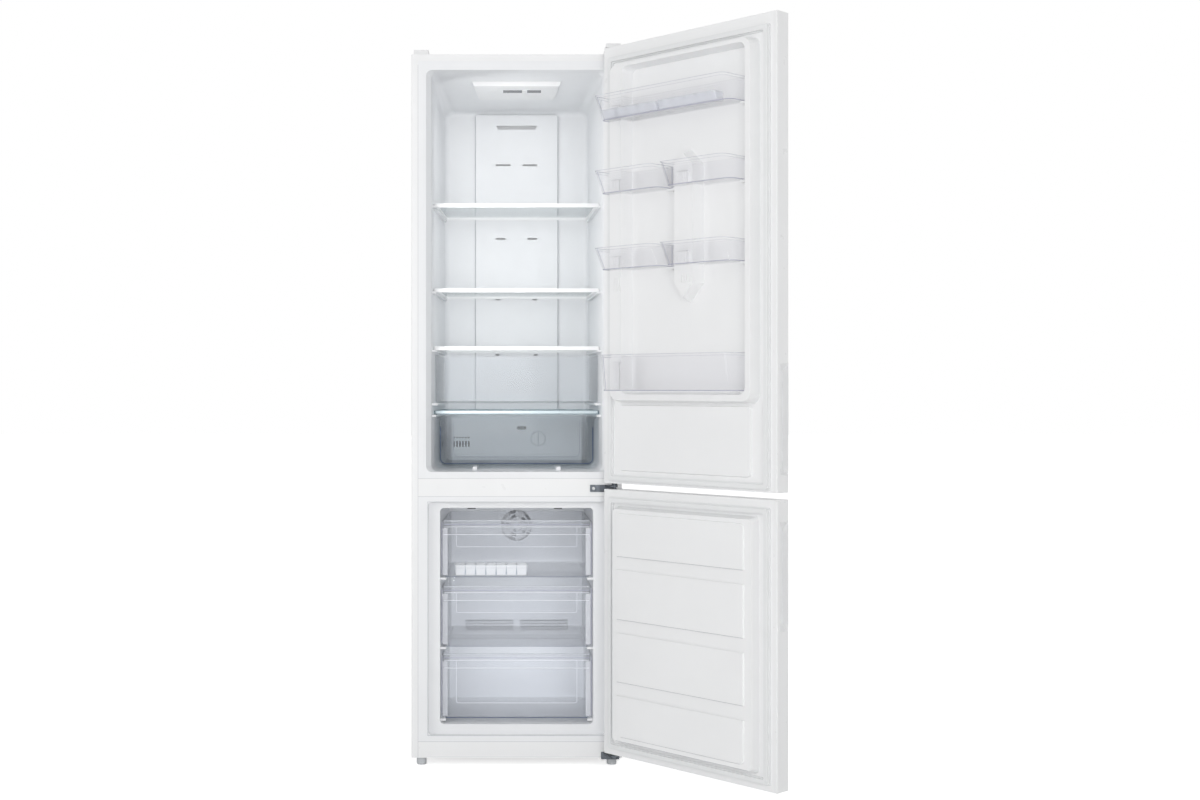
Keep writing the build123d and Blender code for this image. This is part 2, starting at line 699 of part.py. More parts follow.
def make_evaporator_fan():
    """Axial fan with five swept blades on a hub."""
    with BuildPart() as evaporator_fan:
        with BuildSketch(upright(FAN_FRONT)):
            with Locations((0, FAN_Z)):
                Circle(14)
        extrude(amount=-FAN_DEPTH)
        with BuildSketch(upright(FAN_FRONT + 2)):
            with Locations((0, FAN_Z)):
                with PolarLocations(0, 5):
                    Polygon(
                        (10, -4),
                        (FAN_RADIUS, -19),
                        (FAN_RADIUS, 19),
                        (10, 4),
                        align=None,
                    )
            with Locations((0, FAN_Z)):
                Circle(FAN_RADIUS, mode=Mode.INTERSECT)
        extrude(amount=-2)
        with BuildSketch(upright(FAN_FRONT + FAN_DEPTH)):
            with Locations((0, FAN_Z)):
                Circle(MOTOR_SHAFT + 0.05)
        extrude(amount=FAN_DEPTH - 4, mode=Mode.SUBTRACT)
    save(evaporator_fan, "evaporator_fan")


def make_fan_motor():
    """Fan motor on three arms that stand on the back of the evaporator cover."""
    cover_back = EVAPORATOR_COVER_FRONT + 3 + FIT
    with BuildPart() as fan_motor:
        with BuildSketch(upright(MOTOR_FRONT)):
            with Locations((0, FAN_Z)):
                Circle(20)
        extrude(amount=-22)
        with BuildSketch(upright(FAN_FRONT + 5)):
            with Locations((0, FAN_Z)):
                Circle(MOTOR_SHAFT)
        extrude(amount=-(MOTOR_FRONT - FAN_FRONT - 5))
        with BuildSketch(upright(MOTOR_FRONT)):
            with Locations((0, FAN_Z)):
                with PolarLocations(0, 3, start_angle=90):
                    with Locations((36, 0)):
                        Rectangle(50, 6)
        extrude(amount=-4)
        with BuildSketch(upright(cover_back)):
            with Locations((0, FAN_Z)):
                with PolarLocations(58, 3, start_angle=90):
                    Rectangle(6, 6)
        extrude(amount=-(MOTOR_FRONT - cover_back))
    save(fan_motor, "fan_motor")


# ================================================================ control panel under the ceiling
PANEL_FRONT = 116.0
PANEL_REAR = 293.0
PANEL_FRONT_HALF = 129.0
PANEL_REAR_HALF = 116.0
PANEL_DROP = 13.0
BUTTON_X = -67.4
BUTTON_Y = 176.0
BUTTON_RADIUS = 9.0
BUTTON_TRAVEL = 1.0
WINDOW_LEFT = -39.0
WINDOW_RIGHT = 72.0
WINDOW_FRONT = 168.0
WINDOW_REAR = 200.0
WINDOW_THICKNESS = 1.5


def ceiling_plane(gap):
    """Plane along the sloping ceiling, a gap below it, facing down: local x is X, local y is to the front."""
    rise = FRIDGE_CEILING_BACK - FRIDGE_CEILING_FRONT
    run = FRIDGE_BACK - FRIDGE_THROAT
    length = (rise**2 + run**2) ** 0.5
    normal = (0, rise / length, -run / length)
    start = fridge_ceiling(PANEL_FRONT)
    origin = (0, PANEL_FRONT + gap * normal[1], start + gap * normal[2])
    return Plane(origin=origin, x_dir=(1, 0, 0), z_dir=normal)


def make_control_panel():
    """Lamp and control housing: a shallow trapezoid tray hung from the ceiling."""
    length = PANEL_REAR - PANEL_FRONT
    with BuildPart() as control_panel:
        with BuildSketch(ceiling_plane(SEAT)):
            with BuildLine():
                Polyline(
                    (-PANEL_FRONT_HALF, 0),
                    (PANEL_FRONT_HALF, 0),
                    (PANEL_REAR_HALF, -length),
                    (-PANEL_REAR_HALF, -length),
                    close=True,
                )
            make_face()
        extrude(amount=PANEL_DROP, taper=20)
        under = control_panel.faces().sort_by(Axis.Z)[0]
        fillet(under.edges(), 1.5)
        with BuildSketch(ceiling_plane(SEAT)):
            rectangle(
                WINDOW_LEFT - FIT,
                WINDOW_RIGHT + FIT,
                PANEL_FRONT - WINDOW_REAR - FIT,
                PANEL_FRONT - WINDOW_FRONT + FIT,
            )
            with Locations((BUTTON_X, PANEL_FRONT - BUTTON_Y)):
                Circle(BUTTON_RADIUS + SEAT)
        extrude(amount=PANEL_DROP, mode=Mode.SUBTRACT)
        with BuildSketch(ceiling_plane(SEAT)):
            rectangle(
                WINDOW_LEFT - 1,
                WINDOW_RIGHT + 1,
                PANEL_FRONT - WINDOW_REAR - 1,
                PANEL_FRONT - WINDOW_FRONT + 1,
            )
        extrude(amount=PANEL_DROP - WINDOW_THICKNESS - FIT)
    save(control_panel, "control_panel")


def make_display_window():
    """Dark window let into the underside of the control panel."""
    with BuildPart() as display_window:
        with BuildSketch(ceiling_plane(SEAT + PANEL_DROP - WINDOW_THICKNESS)):
            rectangle(
                WINDOW_LEFT,
                WINDOW_RIGHT,
                PANEL_FRONT - WINDOW_REAR,
                PANEL_FRONT - WINDOW_FRONT,
            )
        extrude(amount=WINDOW_THICKNESS)
    save(display_window, "display_window")


def make_panel_button():
    """Round push button with a collar, in its hole in the control panel."""
    with BuildPart() as panel_button:
        with BuildSketch(ceiling_plane(SEAT + BUTTON_TRAVEL + 2)):
            with Locations((BUTTON_X, PANEL_FRONT - BUTTON_Y)):
                Circle(BUTTON_RADIUS)
        extrude(amount=PANEL_DROP - BUTTON_TRAVEL - 1.2)
    save(panel_button, "panel_button")


# ================================================================ shelves, trays and drawers
def plan_outline(half, gap, front, rear):
    """Four-sided outline that keeps a gap to the drafted side walls."""
    Polygon(
        (-half(front) + gap, front),
        (half(front) - gap, front),
        (half(rear) - gap, rear),
        (-half(rear) + gap, rear),
        align=None,
    )


def make_shelf(name, top):
    """Glass shelf: a moulded frame round a pane that lies in its groove."""
    pane_gap = SHELF_SIDE_GAP + 3
    with BuildPart() as trim:
        with BuildSketch(level(top - SHELF_HEIGHT)):
            plan_outline(fridge_half, SHELF_SIDE_GAP, SHELF_FRONT, SHELF_REAR)
        extrude(amount=SHELF_HEIGHT)
        with BuildSketch(level(top - SHELF_HEIGHT)):
            plan_outline(
                fridge_half,
                SHELF_SIDE_GAP + SHELF_FRAME,
                SHELF_FRONT + SHELF_FRAME,
                SHELF_REAR - SHELF_FRAME,
            )
        extrude(amount=SHELF_HEIGHT, mode=Mode.SUBTRACT)
        with BuildSketch(level(top - GLASS - 2 * FIT)):
            plan_outline(fridge_half, pane_gap - FIT, SHELF_FRONT + 3 - FIT, SHELF_REAR - 3 + FIT)
        extrude(amount=GLASS + 2 * FIT, mode=Mode.SUBTRACT)
    save(trim, f"shelf_{name}_trim")
    with BuildPart() as pane:
        with BuildSketch(level(top - GLASS - FIT)):
            plan_outline(fridge_half, pane_gap, SHELF_FRONT + 3, SHELF_REAR - 3)
        extrude(amount=GLASS)
    save(pane, f"shelf_{name}_glass")


def make_crisper_cover():
    """Clear cover over the crisper drawer with a turned-down front edge."""
    with BuildPart() as crisper_cover:
        with BuildSketch(level(CRISPER_COVER_TOP - SHELF_HEIGHT)):
            plan_outline(fridge_half, SHELF_SIDE_GAP, SHELF_FRONT, SHELF_REAR)
        extrude(amount=SHELF_HEIGHT)
        with BuildSketch(level(CRISPER_COVER_TOP - SHELF_HEIGHT)):
            plan_outline(
                fridge_half,
                SHELF_SIDE_GAP + SHELF_FRAME,
                SHELF_FRONT + SHELF_FRAME,
                SHELF_REAR - SHELF_FRAME,
            )
        extrude(amount=SHELF_HEIGHT - GLASS, mode=Mode.SUBTRACT)
    save(crisper_cover, "crisper_cover")


def tub_body(half, gap, front, rear, bottom, top, radius, floor_radius):
    """Block with a drafted plan and rounded upright and lower edges, the outside or inside of a tub."""
    with BuildPart() as body:
        with BuildSketch(level(bottom)):
            plan_outline(half, gap, front, rear)
        extrude(amount=top - bottom)
        upright_edges = body.edges().filter_by(Axis.Z)
        fillet(upright_edges, radius)
        fillet(body.faces().sort_by(Axis.Z)[0].edges(), floor_radius)
    return body.part


def tub(half, gap, front, rear, bottom, top, radius, floor_radius):
    """Open tub with a wall of even thickness."""
    outer = tub_body(half, gap, front, rear, bottom, top, radius, floor_radius)
    inner = tub_body(
        half,
        gap + TRAY_WALL,
        front + TRAY_WALL,
        rear - TRAY_WALL,
        bottom + TRAY_WALL,
        top + 1,
        radius - TRAY_WALL,
        floor_radius - TRAY_WALL,
    )
    return outer, inner


def rim_strip(half, gap, front, rear, top, width):
    """Flange that stands out of a tub's rim at its sides and back."""
    with BuildPart() as strip:
        with BuildSketch(level(top - RIM_THICKNESS)):
            plan_outline(half, gap - width, front + TRAY_WALL, rear + width)
        extrude(amount=RIM_THICKNESS)
    return strip.part


def make_chiller_tray():
    """Clear tray of the chiller zone with a grip line moulded along its front."""
    outer, inner = tub(
        fridge_half,
        CHILLER_SIDE_GAP,
        TRAY_FRONT,
        CHILLER_REAR,
        CHILLER_BOTTOM,
        CHILLER_TOP,
        TRAY_RADIUS,
        TRAY_FLOOR_RADIUS,
    )
    half = fridge_half(TRAY_FRONT) - CHILLER_SIDE_GAP - TRAY_RADIUS
    with BuildPart() as chiller_tray:
        add(outer)
        with BuildSketch(upright(TRAY_FRONT)):
            rectangle(-half, half, CHILLER_TOP - 4, CHILLER_TOP - 1)
            rectangle(-half, half, CHILLER_TOP - 40, CHILLER_TOP - 38.5)
        extrude(amount=RIDGE)
        add(inner, mode=Mode.SUBTRACT)
    save(chiller_tray, "chiller_tray")


def make_crisper_drawer():
    """Clear crisper drawer with a flange round its rim and beads on its front."""
    outer, inner = tub(
        fridge_half,
        CRISPER_SIDE_GAP,
        TRAY_FRONT,
        CRISPER_REAR,
        CRISPER_BOTTOM,
        CRISPER_TOP,
        CRISPER_RADIUS,
        CRISPER_RADIUS - 2,
    )
    with BuildPart() as crisper_drawer:
        add(outer)
        add(
            rim_strip(
                fridge_half, CRISPER_SIDE_GAP, TRAY_FRONT + CRISPER_RADIUS, CRISPER_REAR, CRISPER_TOP, 6
            )
        )
        with BuildSketch(upright(TRAY_FRONT)):
            for side in (-1, 1):
                middle = side * CRISPER_BEAD_X
                rectangle(middle - 1.2, middle + 1.2, CRISPER_TOP - 42, CRISPER_TOP - 9)
        extrude(amount=1)
        add(inner, mode=Mode.SUBTRACT)
    save(crisper_drawer, "crisper_drawer")


def make_freezer_drawer(name, bottom, top, rear, loop_drop):
    """Freezer drawer: a tub behind a wider front with a grip lip, ridges and a moulded loop."""
    outer, inner = tub(
        freezer_half,
        DRAWER_SIDE_GAP,
        DRAWER_FRONT,
        rear,
        bottom,
        top - DRAWER_RIM_DROP,
        DRAWER_RADIUS,
        TRAY_FLOOR_RADIUS,
    )
    face = DRAWER_FRONT - DRAWER_FACE
    with BuildPart() as drawer:
        with BuildSketch(upright(DRAWER_FRONT + TRAY_WALL)):
            rectangle(-DRAWER_FACE_HALF, DRAWER_FACE_HALF, bottom, top, 8)
        extrude(amount=DRAWER_FACE)
        add(outer)
        add(
            rim_strip(
                freezer_half, DRAWER_SIDE_GAP, DRAWER_FRONT, rear, top - DRAWER_RIM_DROP, 3
            )
        )
        add(inner, mode=Mode.SUBTRACT)
        ridge_plane = upright(DRAWER_FRONT + TRAY_WALL - DRAWER_FACE)
        with BuildSketch(ridge_plane):
            for drop in DRAWER_RIDGE_DROPS:
                half = DRAWER_FACE_HALF - 3
                rectangle(-half, half, top - drop - 2.5, top - drop)
        extrude(amount=RIDGE)
        with BuildSketch(ridge_plane):
            rectangle(-LOOP_HALF, LOOP_HALF, top - loop_drop, top - 12, 6)
            rectangle(-LOOP_HALF + 1.5, LOOP_HALF - 1.5, top - loop_drop + 1.5, top - 12, 5, Mode.SUBTRACT)
        extrude(amount=0.8)
        with BuildSketch(ridge_plane):
            half = DRAWER_FACE_HALF - 8
            rectangle(-half, half, top - 3, top - 0.5)
        extrude(amount=DRAWER_LIP)
    save(drawer, f"freezer_drawer_{name}")


def make_ice_tray():
    """Ice tray with two rows of tapered cells."""
    bottom = FREEZER_DRAWERS["top"][0] + TRAY_WALL + SEAT
    top = bottom + ICE_TRAY_HEIGHT
    length = ICE_COLUMNS * ICE_CELL + 2
    width = ICE_ROWS * ICE_CELL + 2
    with BuildPart() as ice_tray:
        with BuildSketch(level(top)):
            rectangle(
                ICE_TRAY_LEFT,
                ICE_TRAY_LEFT + length,
                ICE_TRAY_FRONT,
                ICE_TRAY_FRONT + width,
                5,
            )
        extrude(amount=-ICE_TRAY_HEIGHT, taper=5)
        for column in range(ICE_COLUMNS):
            for row in range(ICE_ROWS):
                with BuildSketch(level(top)):
                    with Locations(
                        (
                            ICE_TRAY_LEFT + 1 + (column + 0.5) * ICE_CELL,
                            ICE_TRAY_FRONT + 1 + (row + 0.5) * ICE_CELL,
                        )
                    ):
                        RectangleRounded(ICE_CELL - 2.5, ICE_CELL - 2.5, 3)
                extrude(amount=-(ICE_TRAY_HEIGHT - 3), taper=8, mode=Mode.SUBTRACT)
    save(ice_tray, "ice_tray")


# ================================================================ doors
def door_block(left, right, front, rear, bottom, top, radius):
    """Block in the open door, front and rear as depths behind the inner face, front edges rounded."""
    with BuildPart() as body:
        with BuildSketch(door_level(bottom)):
            with BuildLine():
                FilletPolyline(
                    (left, rear),
                    (right, rear),
                    (right, front),
                    (left, front),
                    radius=[0, 0, radius, radius],
                    close=True,
                )
            make_face()
        extrude(amount=top - bottom)
    return body.part


def grip_body(bottom, top, grow):
    """The grip recess as a solid, let into the free edge, with slanted ends."""
    edge = DOOR_WIDTH
    deep = DOOR_WIDTH - GRIP_DEPTH - grow
    with BuildPart() as body:
        with BuildSketch(door_face(-GRIP_REAR + grow)):
            with BuildLine():
                Polyline(
                    (edge, bottom - grow),
                    (edge, top + grow),
                    (deep, top - GRIP_DEPTH + grow),
                    (deep, bottom + GRIP_DEPTH - grow),
                    close=True,
                )
            make_face()
        extrude(amount=-(GRIP_FRONT - GRIP_REAR + 2 * grow))
    return body.part


def make_door_shell(name, bottom, top):
    """Skin, end caps with the grip cup, and foam of one door."""
    grip_bottom, grip_top = GRIP_HEIGHTS[name]
    cup_outer = grip_body(grip_bottom, grip_top, LINER)
    cup_cut = grip_body(grip_bottom, grip_top, LINER + FIT)
    cup_inner = grip_body(grip_bottom, grip_top, 0)
    wide = DOOR_WIDTH
    deep = DOOR_THICKNESS
    with BuildPart() as skin:
        with BuildSketch(door_level(bottom)):
            with BuildLine():
                FilletPolyline(
                    (DOOR_LIP, 0),
                    (0, 0),
                    (0, deep),
                    (wide, deep),
                    (wide, 0),
                    (wide - DOOR_LIP, 0),
                    (wide - DOOR_LIP, SHEET),
                    (wide - SHEET, SHEET),
                    (wide - SHEET, deep - SHEET),
                    (SHEET, deep - SHEET),
                    (SHEET, SHEET),
                    (DOOR_LIP, SHEET),
                    radius=[
                        0,
                        FOLD_RADIUS,
                        DOOR_EDGE_RADIUS,
                        DOOR_EDGE_RADIUS,
                        FOLD_RADIUS,
                        0,
                        0,
                        FOLD_RADIUS - SHEET,
                        DOOR_EDGE_RADIUS - SHEET,
                        DOOR_EDGE_RADIUS - SHEET,
                        FOLD_RADIUS - SHEET,
                        0,
                    ],
                    close=True,
                )
            make_face()
        extrude(amount=top - bottom)
        add(cup_cut, mode=Mode.SUBTRACT)
    save(skin, f"{name}_door_skin")

    inset = SHEET + FIT
    cap_rear = LINER + FIT
    with BuildPart() as caps:
        for cap_bottom in (bottom, top - END_CAP):
            add(
                door_block(
                    inset,
                    wide - inset,
                    deep - inset,
                    cap_rear,
                    cap_bottom,
                    cap_bottom + END_CAP,
                    DOOR_EDGE_RADIUS - SHEET,
                )
            )
        for z, depth in ((bottom, END_CAP - 1.5), (top, 1.5 - END_CAP)):
            with BuildSketch(door_level(z)):
                with Locations((HINGE_FROM_EDGE, HINGE_FROM_INNER_FACE)):
                    Circle(PIN_RADIUS + PIN_PLAY)
            extrude(amount=depth, mode=Mode.SUBTRACT)
        add(cup_outer)
        add(cup_inner, mode=Mode.SUBTRACT)
    save(caps, f"{name}_door_caps")

    with BuildPart() as foam:
        add(
            door_block(
                inset,
                wide - inset,
                deep - inset,
                cap_rear,
                bottom + END_CAP + FIT,
                top - END_CAP - FIT,
                DOOR_EDGE_RADIUS - SHEET,
            )
        )
        add(cup_cut, mode=Mode.SUBTRACT)
        if name == "lower":
            add(plug_body(LINER + FIT))
        else:
            add(ring_body(LINER + FIT))
            add(post_body(LINER + FIT))
    save(foam, f"{name}_door_foam")


def make_gasket(name, bottom, top):
    """Magnetic gasket: a flat base with a narrower bellows ring on it."""
    left = GASKET_EDGE
    right = DOOR_WIDTH - GASKET_EDGE
    with BuildPart() as gasket:
        for inset, lift, height in ((0, 0, GASKET_BASE), (3, GASKET_BASE, GASKET_HEIGHT - GASKET_BASE)):
            with BuildSketch(door_face(lift)):
                rectangle(left + inset, right - inset, bottom + inset, top - inset, 6)
                rectangle_inset = GASKET_WIDTH - inset
                with Locations(((left + right) / 2, (bottom + top) / 2)):
                    RectangleRounded(
                        right - left - 2 * rectangle_inset,
                        top - bottom - 2 * rectangle_inset,
                        4,
                        mode=Mode.SUBTRACT,
                    )
            extrude(amount=height)
    save(gasket, f"{name}_door_gasket")


UPPER_GASKET = (UPPER_DOOR_BOTTOM + 6.0, UPPER_DOOR_TOP - 29.0)
LOWER_GASKET = (LOWER_DOOR_BOTTOM + 16.0, LOWER_DOOR_TOP - 20.0)

# the plug of the lower door's liner: left, right, bottom, top at the door and at its crown
PLUG_SIDES = (46.0, DOOR_WIDTH - 55.0, LOWER_DOOR_BOTTOM + 40.0, LOWER_DOOR_TOP - 43.0)
PLUG_DRAFT = 8.0
PLUG_FIELD = (72.0, DOOR_WIDTH - 85.0, LOWER_DOOR_BOTTOM + 61.0, LOWER_DOOR_TOP - 61.0)
PLUG_FIELD_RISE = 4.0
PLUG_GROOVES = ((568.0, 605.0), (394.0, 432.0), (222.0, 260.0))


def plug_body(shrink):
    """Raised middle of the lower door's liner as a solid, shrunk by a wall for what lies inside it."""
    left, right, bottom, top = PLUG_SIDES
    with BuildPart() as body:
        with BuildSketch(door_face(-LINER - FIT)):
            rectangle(left + shrink, right - shrink, bottom + shrink, top - shrink, 12)
        with BuildSketch(door_face(PLUG_HEIGHT - shrink)):
            inset = PLUG_DRAFT + shrink
            rectangle(left + inset, right - inset, bottom + inset, top - inset, 10)
        loft(ruled=True)
    return body.part


def make_lower_liner():
    """Inner liner of the freezer door: a hollow raised field with three level grooves."""
    solid_plug = plug_body(0)
    hollow_plug = plug_body(LINER)
    with BuildPart() as liner:
        with BuildSketch(door_face(0)):
            rectangle(
                DOOR_LIP + FIT,
                DOOR_WIDTH - DOOR_LIP - FIT,
                LOWER_DOOR_BOTTOM,
                LOWER_DOOR_TOP,
            )
        extrude(amount=-LINER)
        add(solid_plug)
        add(hollow_plug, mode=Mode.SUBTRACT)
        left, right, bottom, top = PLUG_FIELD
        with BuildSketch(door_face(PLUG_HEIGHT)):
            rectangle(left, right, bottom, top, 14)
        extrude(amount=PLUG_FIELD_RISE, taper=30)
        with BuildSketch(door_face(PLUG_HEIGHT)):
            for low, high in PLUG_GROOVES:
                rectangle(left, right, low, high)
        extrude(amount=PLUG_FIELD_RISE, mode=Mode.SUBTRACT)
    save(liner, "lower_door_liner")


# raised ring of the upper door's liner: left, right, bottom, top
DYKE_OUTER = (44.0, DOOR_WIDTH - 53.0, 1028.0, UPPER_DOOR_TOP - 56.0)
DYKE_OUTER_TOP = (52.0, DOOR_WIDTH - 61.0, 1034.0, UPPER_DOOR_TOP - 61.0)
DYKE_INNER = (106.0, DOOR_WIDTH - 84.0, 1056.0, UPPER_DOOR_TOP - 77.0)
DYKE_INNER_TOP = (93.0, DOOR_WIDTH - 77.0, 1050.0, UPPER_DOOR_TOP - 70.0)
POST_LEFT = 270.0
POST_RIGHT = 358.0
POST_TIP_BOTTOM = 1293.0
TOP_BIN_RIM = UPPER_DOOR_TOP - 155.0
UPPER_BIN_RIM = TOP_BIN_RIM - 204.0
LOWER_BIN_RIM = UPPER_BIN_RIM - 210.0
POST_BOTTOM = LOWER_BIN_RIM - 105.0
POST_TOP = UPPER_BIN_RIM - 3.0
POST_TIP_TOP = UPPER_BIN_RIM + 40.0
POST_DRAFT = 13.0

BIN_RIGHT = DYKE_INNER[1] - 6.0
# bins: left, right, bottom, top, front at the floor, front at the rim, what carries the left end
BINS = {
    "door_bin_top": (57.0, BIN_RIGHT, TOP_BIN_RIM - 64.0, TOP_BIN_RIM, 74.0, 105.0, "dyke"),
    "door_bin_upper_left": (57.0, 260.0, UPPER_BIN_RIM - 60.0, UPPER_BIN_RIM, 74.0, 105.0, "dyke"),
    "door_bin_upper_right": (290.0, BIN_RIGHT, UPPER_BIN_RIM - 60.0, UPPER_BIN_RIM, 74.0, 105.0, "post"),
    "door_bin_lower_left": (57.0, 260.0, LOWER_BIN_RIM - 58.0, LOWER_BIN_RIM, 74.0, 105.0, "dyke"),
    "door_bin_lower_right": (290.0, BIN_RIGHT, LOWER_BIN_RIM - 58.0, LOWER_BIN_RIM, 74.0, 105.0, "post"),
    "door_bin_bottom": (66.0, BIN_RIGHT, 1060.0, 1158.0, 80.0, 92.0, "dyke"),
}
BOSS_DEPTH = 8.0
BOSS_WIDTH = 36.0
BOSS_DROP = 22.0
BOSS_GROOVES = 4
BOSS_GROOVE_DEPTH = 1.2
SPARE_BOSSES = ((62.0, 90.0, 1333.0, 1371.0), (303.0, 345.0, 1345.0, 1368.0))
SPARE_BOSS_RISE = 3.0
DYKE_BOSS_LEFT = 56.0
POST_BOSS_LEFT = 296.0
DYKE_STEP = 110.0
POST_STEP = 362.0


def ring_body(shrink):
    """Raised ring of the upper door's liner as a solid, shrunk by a wall for what lies inside it."""
    base = -LINER - FIT if shrink else 0
    crown = DYKE_HEIGHT - shrink
    with BuildPart() as body:
        for lift, sides in ((base, DYKE_OUTER), (crown, DYKE_OUTER_TOP)):
            left, right, bottom, top = sides
            with BuildSketch(door_face(lift)):
                rectangle(left + shrink, right - shrink, bottom + shrink, top - shrink, 24)
        loft(ruled=True)
    with BuildPart() as middle:
        for lift, sides in ((base, DYKE_INNER), (crown, DYKE_INNER_TOP)):
            left, right, bottom, top = sides
            with BuildSketch(door_face(lift)):
                rectangle(left - shrink, right + shrink, bottom - shrink, top + shrink, 20)
        loft(ruled=True)
    return body.part - middle.part


def post_body(shrink):
    """Middle post of the upper door's liner as a solid, pointed at both ends."""
    base = -LINER - FIT if shrink else 0
    middle = (POST_LEFT + POST_RIGHT) / 2
    with BuildPart() as body:
        for lift, draft in ((base, 0), (DYKE_HEIGHT - shrink, POST_DRAFT)):
            inset = shrink + draft
            with BuildSketch(door_face(lift)):
                Polygon(
                    (POST_LEFT + inset, POST_BOTTOM),
                    (middle, POST_TIP_BOTTOM + inset),
                    (POST_RIGHT - inset, POST_BOTTOM),
                    (POST_RIGHT - inset, POST_TOP),
                    (middle, POST_TIP_TOP - inset),
                    (POST_LEFT + inset, POST_TOP),
                    align=None,
                )
        loft(ruled=True)
    return body.part


def boss_span(carrier, left):
    """Left and right sides of the boss that carries a bin's left end."""
    start = POST_BOSS_LEFT if carrier == "post" else DYKE_BOSS_LEFT
    start = max(start, left + 6)
    end = (POST_BOSS_LEFT if carrier == "post" else DYKE_BOSS_LEFT) + BOSS_WIDTH
    return start, end


def boss_top(top):
    """Height of a boss's top under the hook of a bin with that rim height."""
    return top - BOSS_DROP


def boss_body(left, right, bottom, top, rise):
    """Boss on the crown of the ring or post, with upright grooves in its face."""
    pitch = (right - left) / (BOSS_GROOVES + 1)
    with BuildPart() as body:
        with BuildSketch(door_face(DYKE_HEIGHT)):
            rectangle(left, right, bottom, top)
        extrude(amount=rise)
        with BuildSketch(door_face(DYKE_HEIGHT + rise)):
            for groove in range(BOSS_GROOVES):
                middle = left + (groove + 1) * pitch
                rectangle(middle - 1, middle + 1, bottom, top - 3)
        extrude(amount=-BOSS_GROOVE_DEPTH, mode=Mode.SUBTRACT)
    return body.part


def make_upper_liner():
    """Inner liner of the fridge door: raised ring, middle post, bin bosses and ledges, lower field."""
    with BuildPart() as liner:
        with BuildSketch(door_face(0)):
            rectangle(
                DOOR_LIP + FIT,
                DOOR_WIDTH - DOOR_LIP - FIT,
                UPPER_DOOR_BOTTOM,
                UPPER_DOOR_TOP,
            )
        extrude(amount=-LINER)
        add(ring_body(0))
        add(post_body(0))
        with BuildSketch(door_face(0)):
            rectangle(60, DOOR_WIDTH - 77, UPPER_DOOR_BOTTOM + 35.5, DYKE_OUTER[2] - 6, 14)
        extrude(amount=6, taper=30)
        for left, right, bottom, top, _, _, carrier in BINS.values():
            boss_left, boss_right = boss_span(carrier, left)
            add(boss_body(boss_left, boss_right, bottom + 4, boss_top(top), BOSS_DEPTH))
            ledge = DYKE_INNER[1] if right == BIN_RIGHT else POST_LEFT
            with BuildSketch(door_face(0)):
                rectangle(right - 8, ledge + 6, bottom - SEAT - 6, bottom - SEAT)
            extrude(amount=24)
        for spare in SPARE_BOSSES:
            add(boss_body(*spare, SPARE_BOSS_RISE))
        add(ring_body(LINER), mode=Mode.SUBTRACT)
        add(post_body(LINER), mode=Mode.SUBTRACT)
    save(liner, "upper_door_liner")


def bin_outline(left, right, step, front, inset):
    """Plan of a door bin: its left end passes in front of the boss, the rest reaches back."""
    radii = [2, 2, 2, 5, 22 - inset, 14 - inset]
    with BuildLine() as outline:
        FilletPolyline(
            (left + inset, -(BIN_OVER_DYKE + inset)),
            (step + inset, -(BIN_OVER_DYKE + inset)),
            (step + inset, -(BIN_BACK + inset)),
            (right - inset, -(BIN_BACK + inset)),
            (right - inset, -(front - inset)),
            (left + inset, -(front - inset)),
            radius=radii,
            close=True,
        )
    make_face(outline.line)


def make_bin(name, left, right, bottom, top, floor_front, rim_front, carrier):
    """Clear door bin with a leaning front and a hook that lies on its boss."""
    step = POST_STEP if carrier == "post" else DYKE_STEP
    lean = (rim_front - floor_front) / (top - bottom)
    with BuildPart() as hollow:
        for z in (bottom + BIN_WALL, top + 1):
            with BuildSketch(door_level(z)):
                bin_outline(left, right, step, floor_front + lean * (z - bottom), BIN_WALL)
        loft(ruled=True)
    with BuildPart() as door_bin:
        for z, front in ((bottom, floor_front), (top, rim_front)):
            with BuildSketch(door_level(z)):
                bin_outline(left, right, step, front, 0)
        loft(ruled=True)
        for z in (top - RIM_BAND, top):
            with BuildSketch(door_level(z)):
                bin_outline(left, right, step, floor_front + lean * (z - bottom), -RIM_PROUD)
        loft(ruled=True)
        with BuildSketch(door_level(bottom + END_PAD_RISE)):
            rectangle(right - 1, right + END_PAD, -END_PAD_FRONT, -END_PAD_REAR)
        extrude(amount=top - RIM_BAND - bottom - END_PAD_RISE)
        add(hollow.part, mode=Mode.SUBTRACT)
        boss_left, boss_right = boss_span(carrier, left)
        hook = boss_top(top) + SEAT
        with BuildSketch(door_level(hook)):
            rectangle(
                boss_left,
                boss_right,
                -(BIN_OVER_DYKE + BIN_WALL / 2),
                -(DYKE_HEIGHT + 1),
            )
        extrude(amount=BIN_WALL)
    save(door_bin, name)


EGG_TRAY_LEFT = 64.0
EGG_TRAY_GAP = 6.0
EGG_TRAY_LENGTH = (BIN_RIGHT - 45.0 - EGG_TRAY_LEFT - EGG_TRAY_GAP) / 2
EGG_TRAYS = {
    "egg_tray_left": EGG_TRAY_LEFT,
    "egg_tray_right": EGG_TRAY_LEFT + EGG_TRAY_LENGTH + EGG_TRAY_GAP,
}
EGG_TRAY_HEIGHT = 24.0
EGG_CUPS = 5


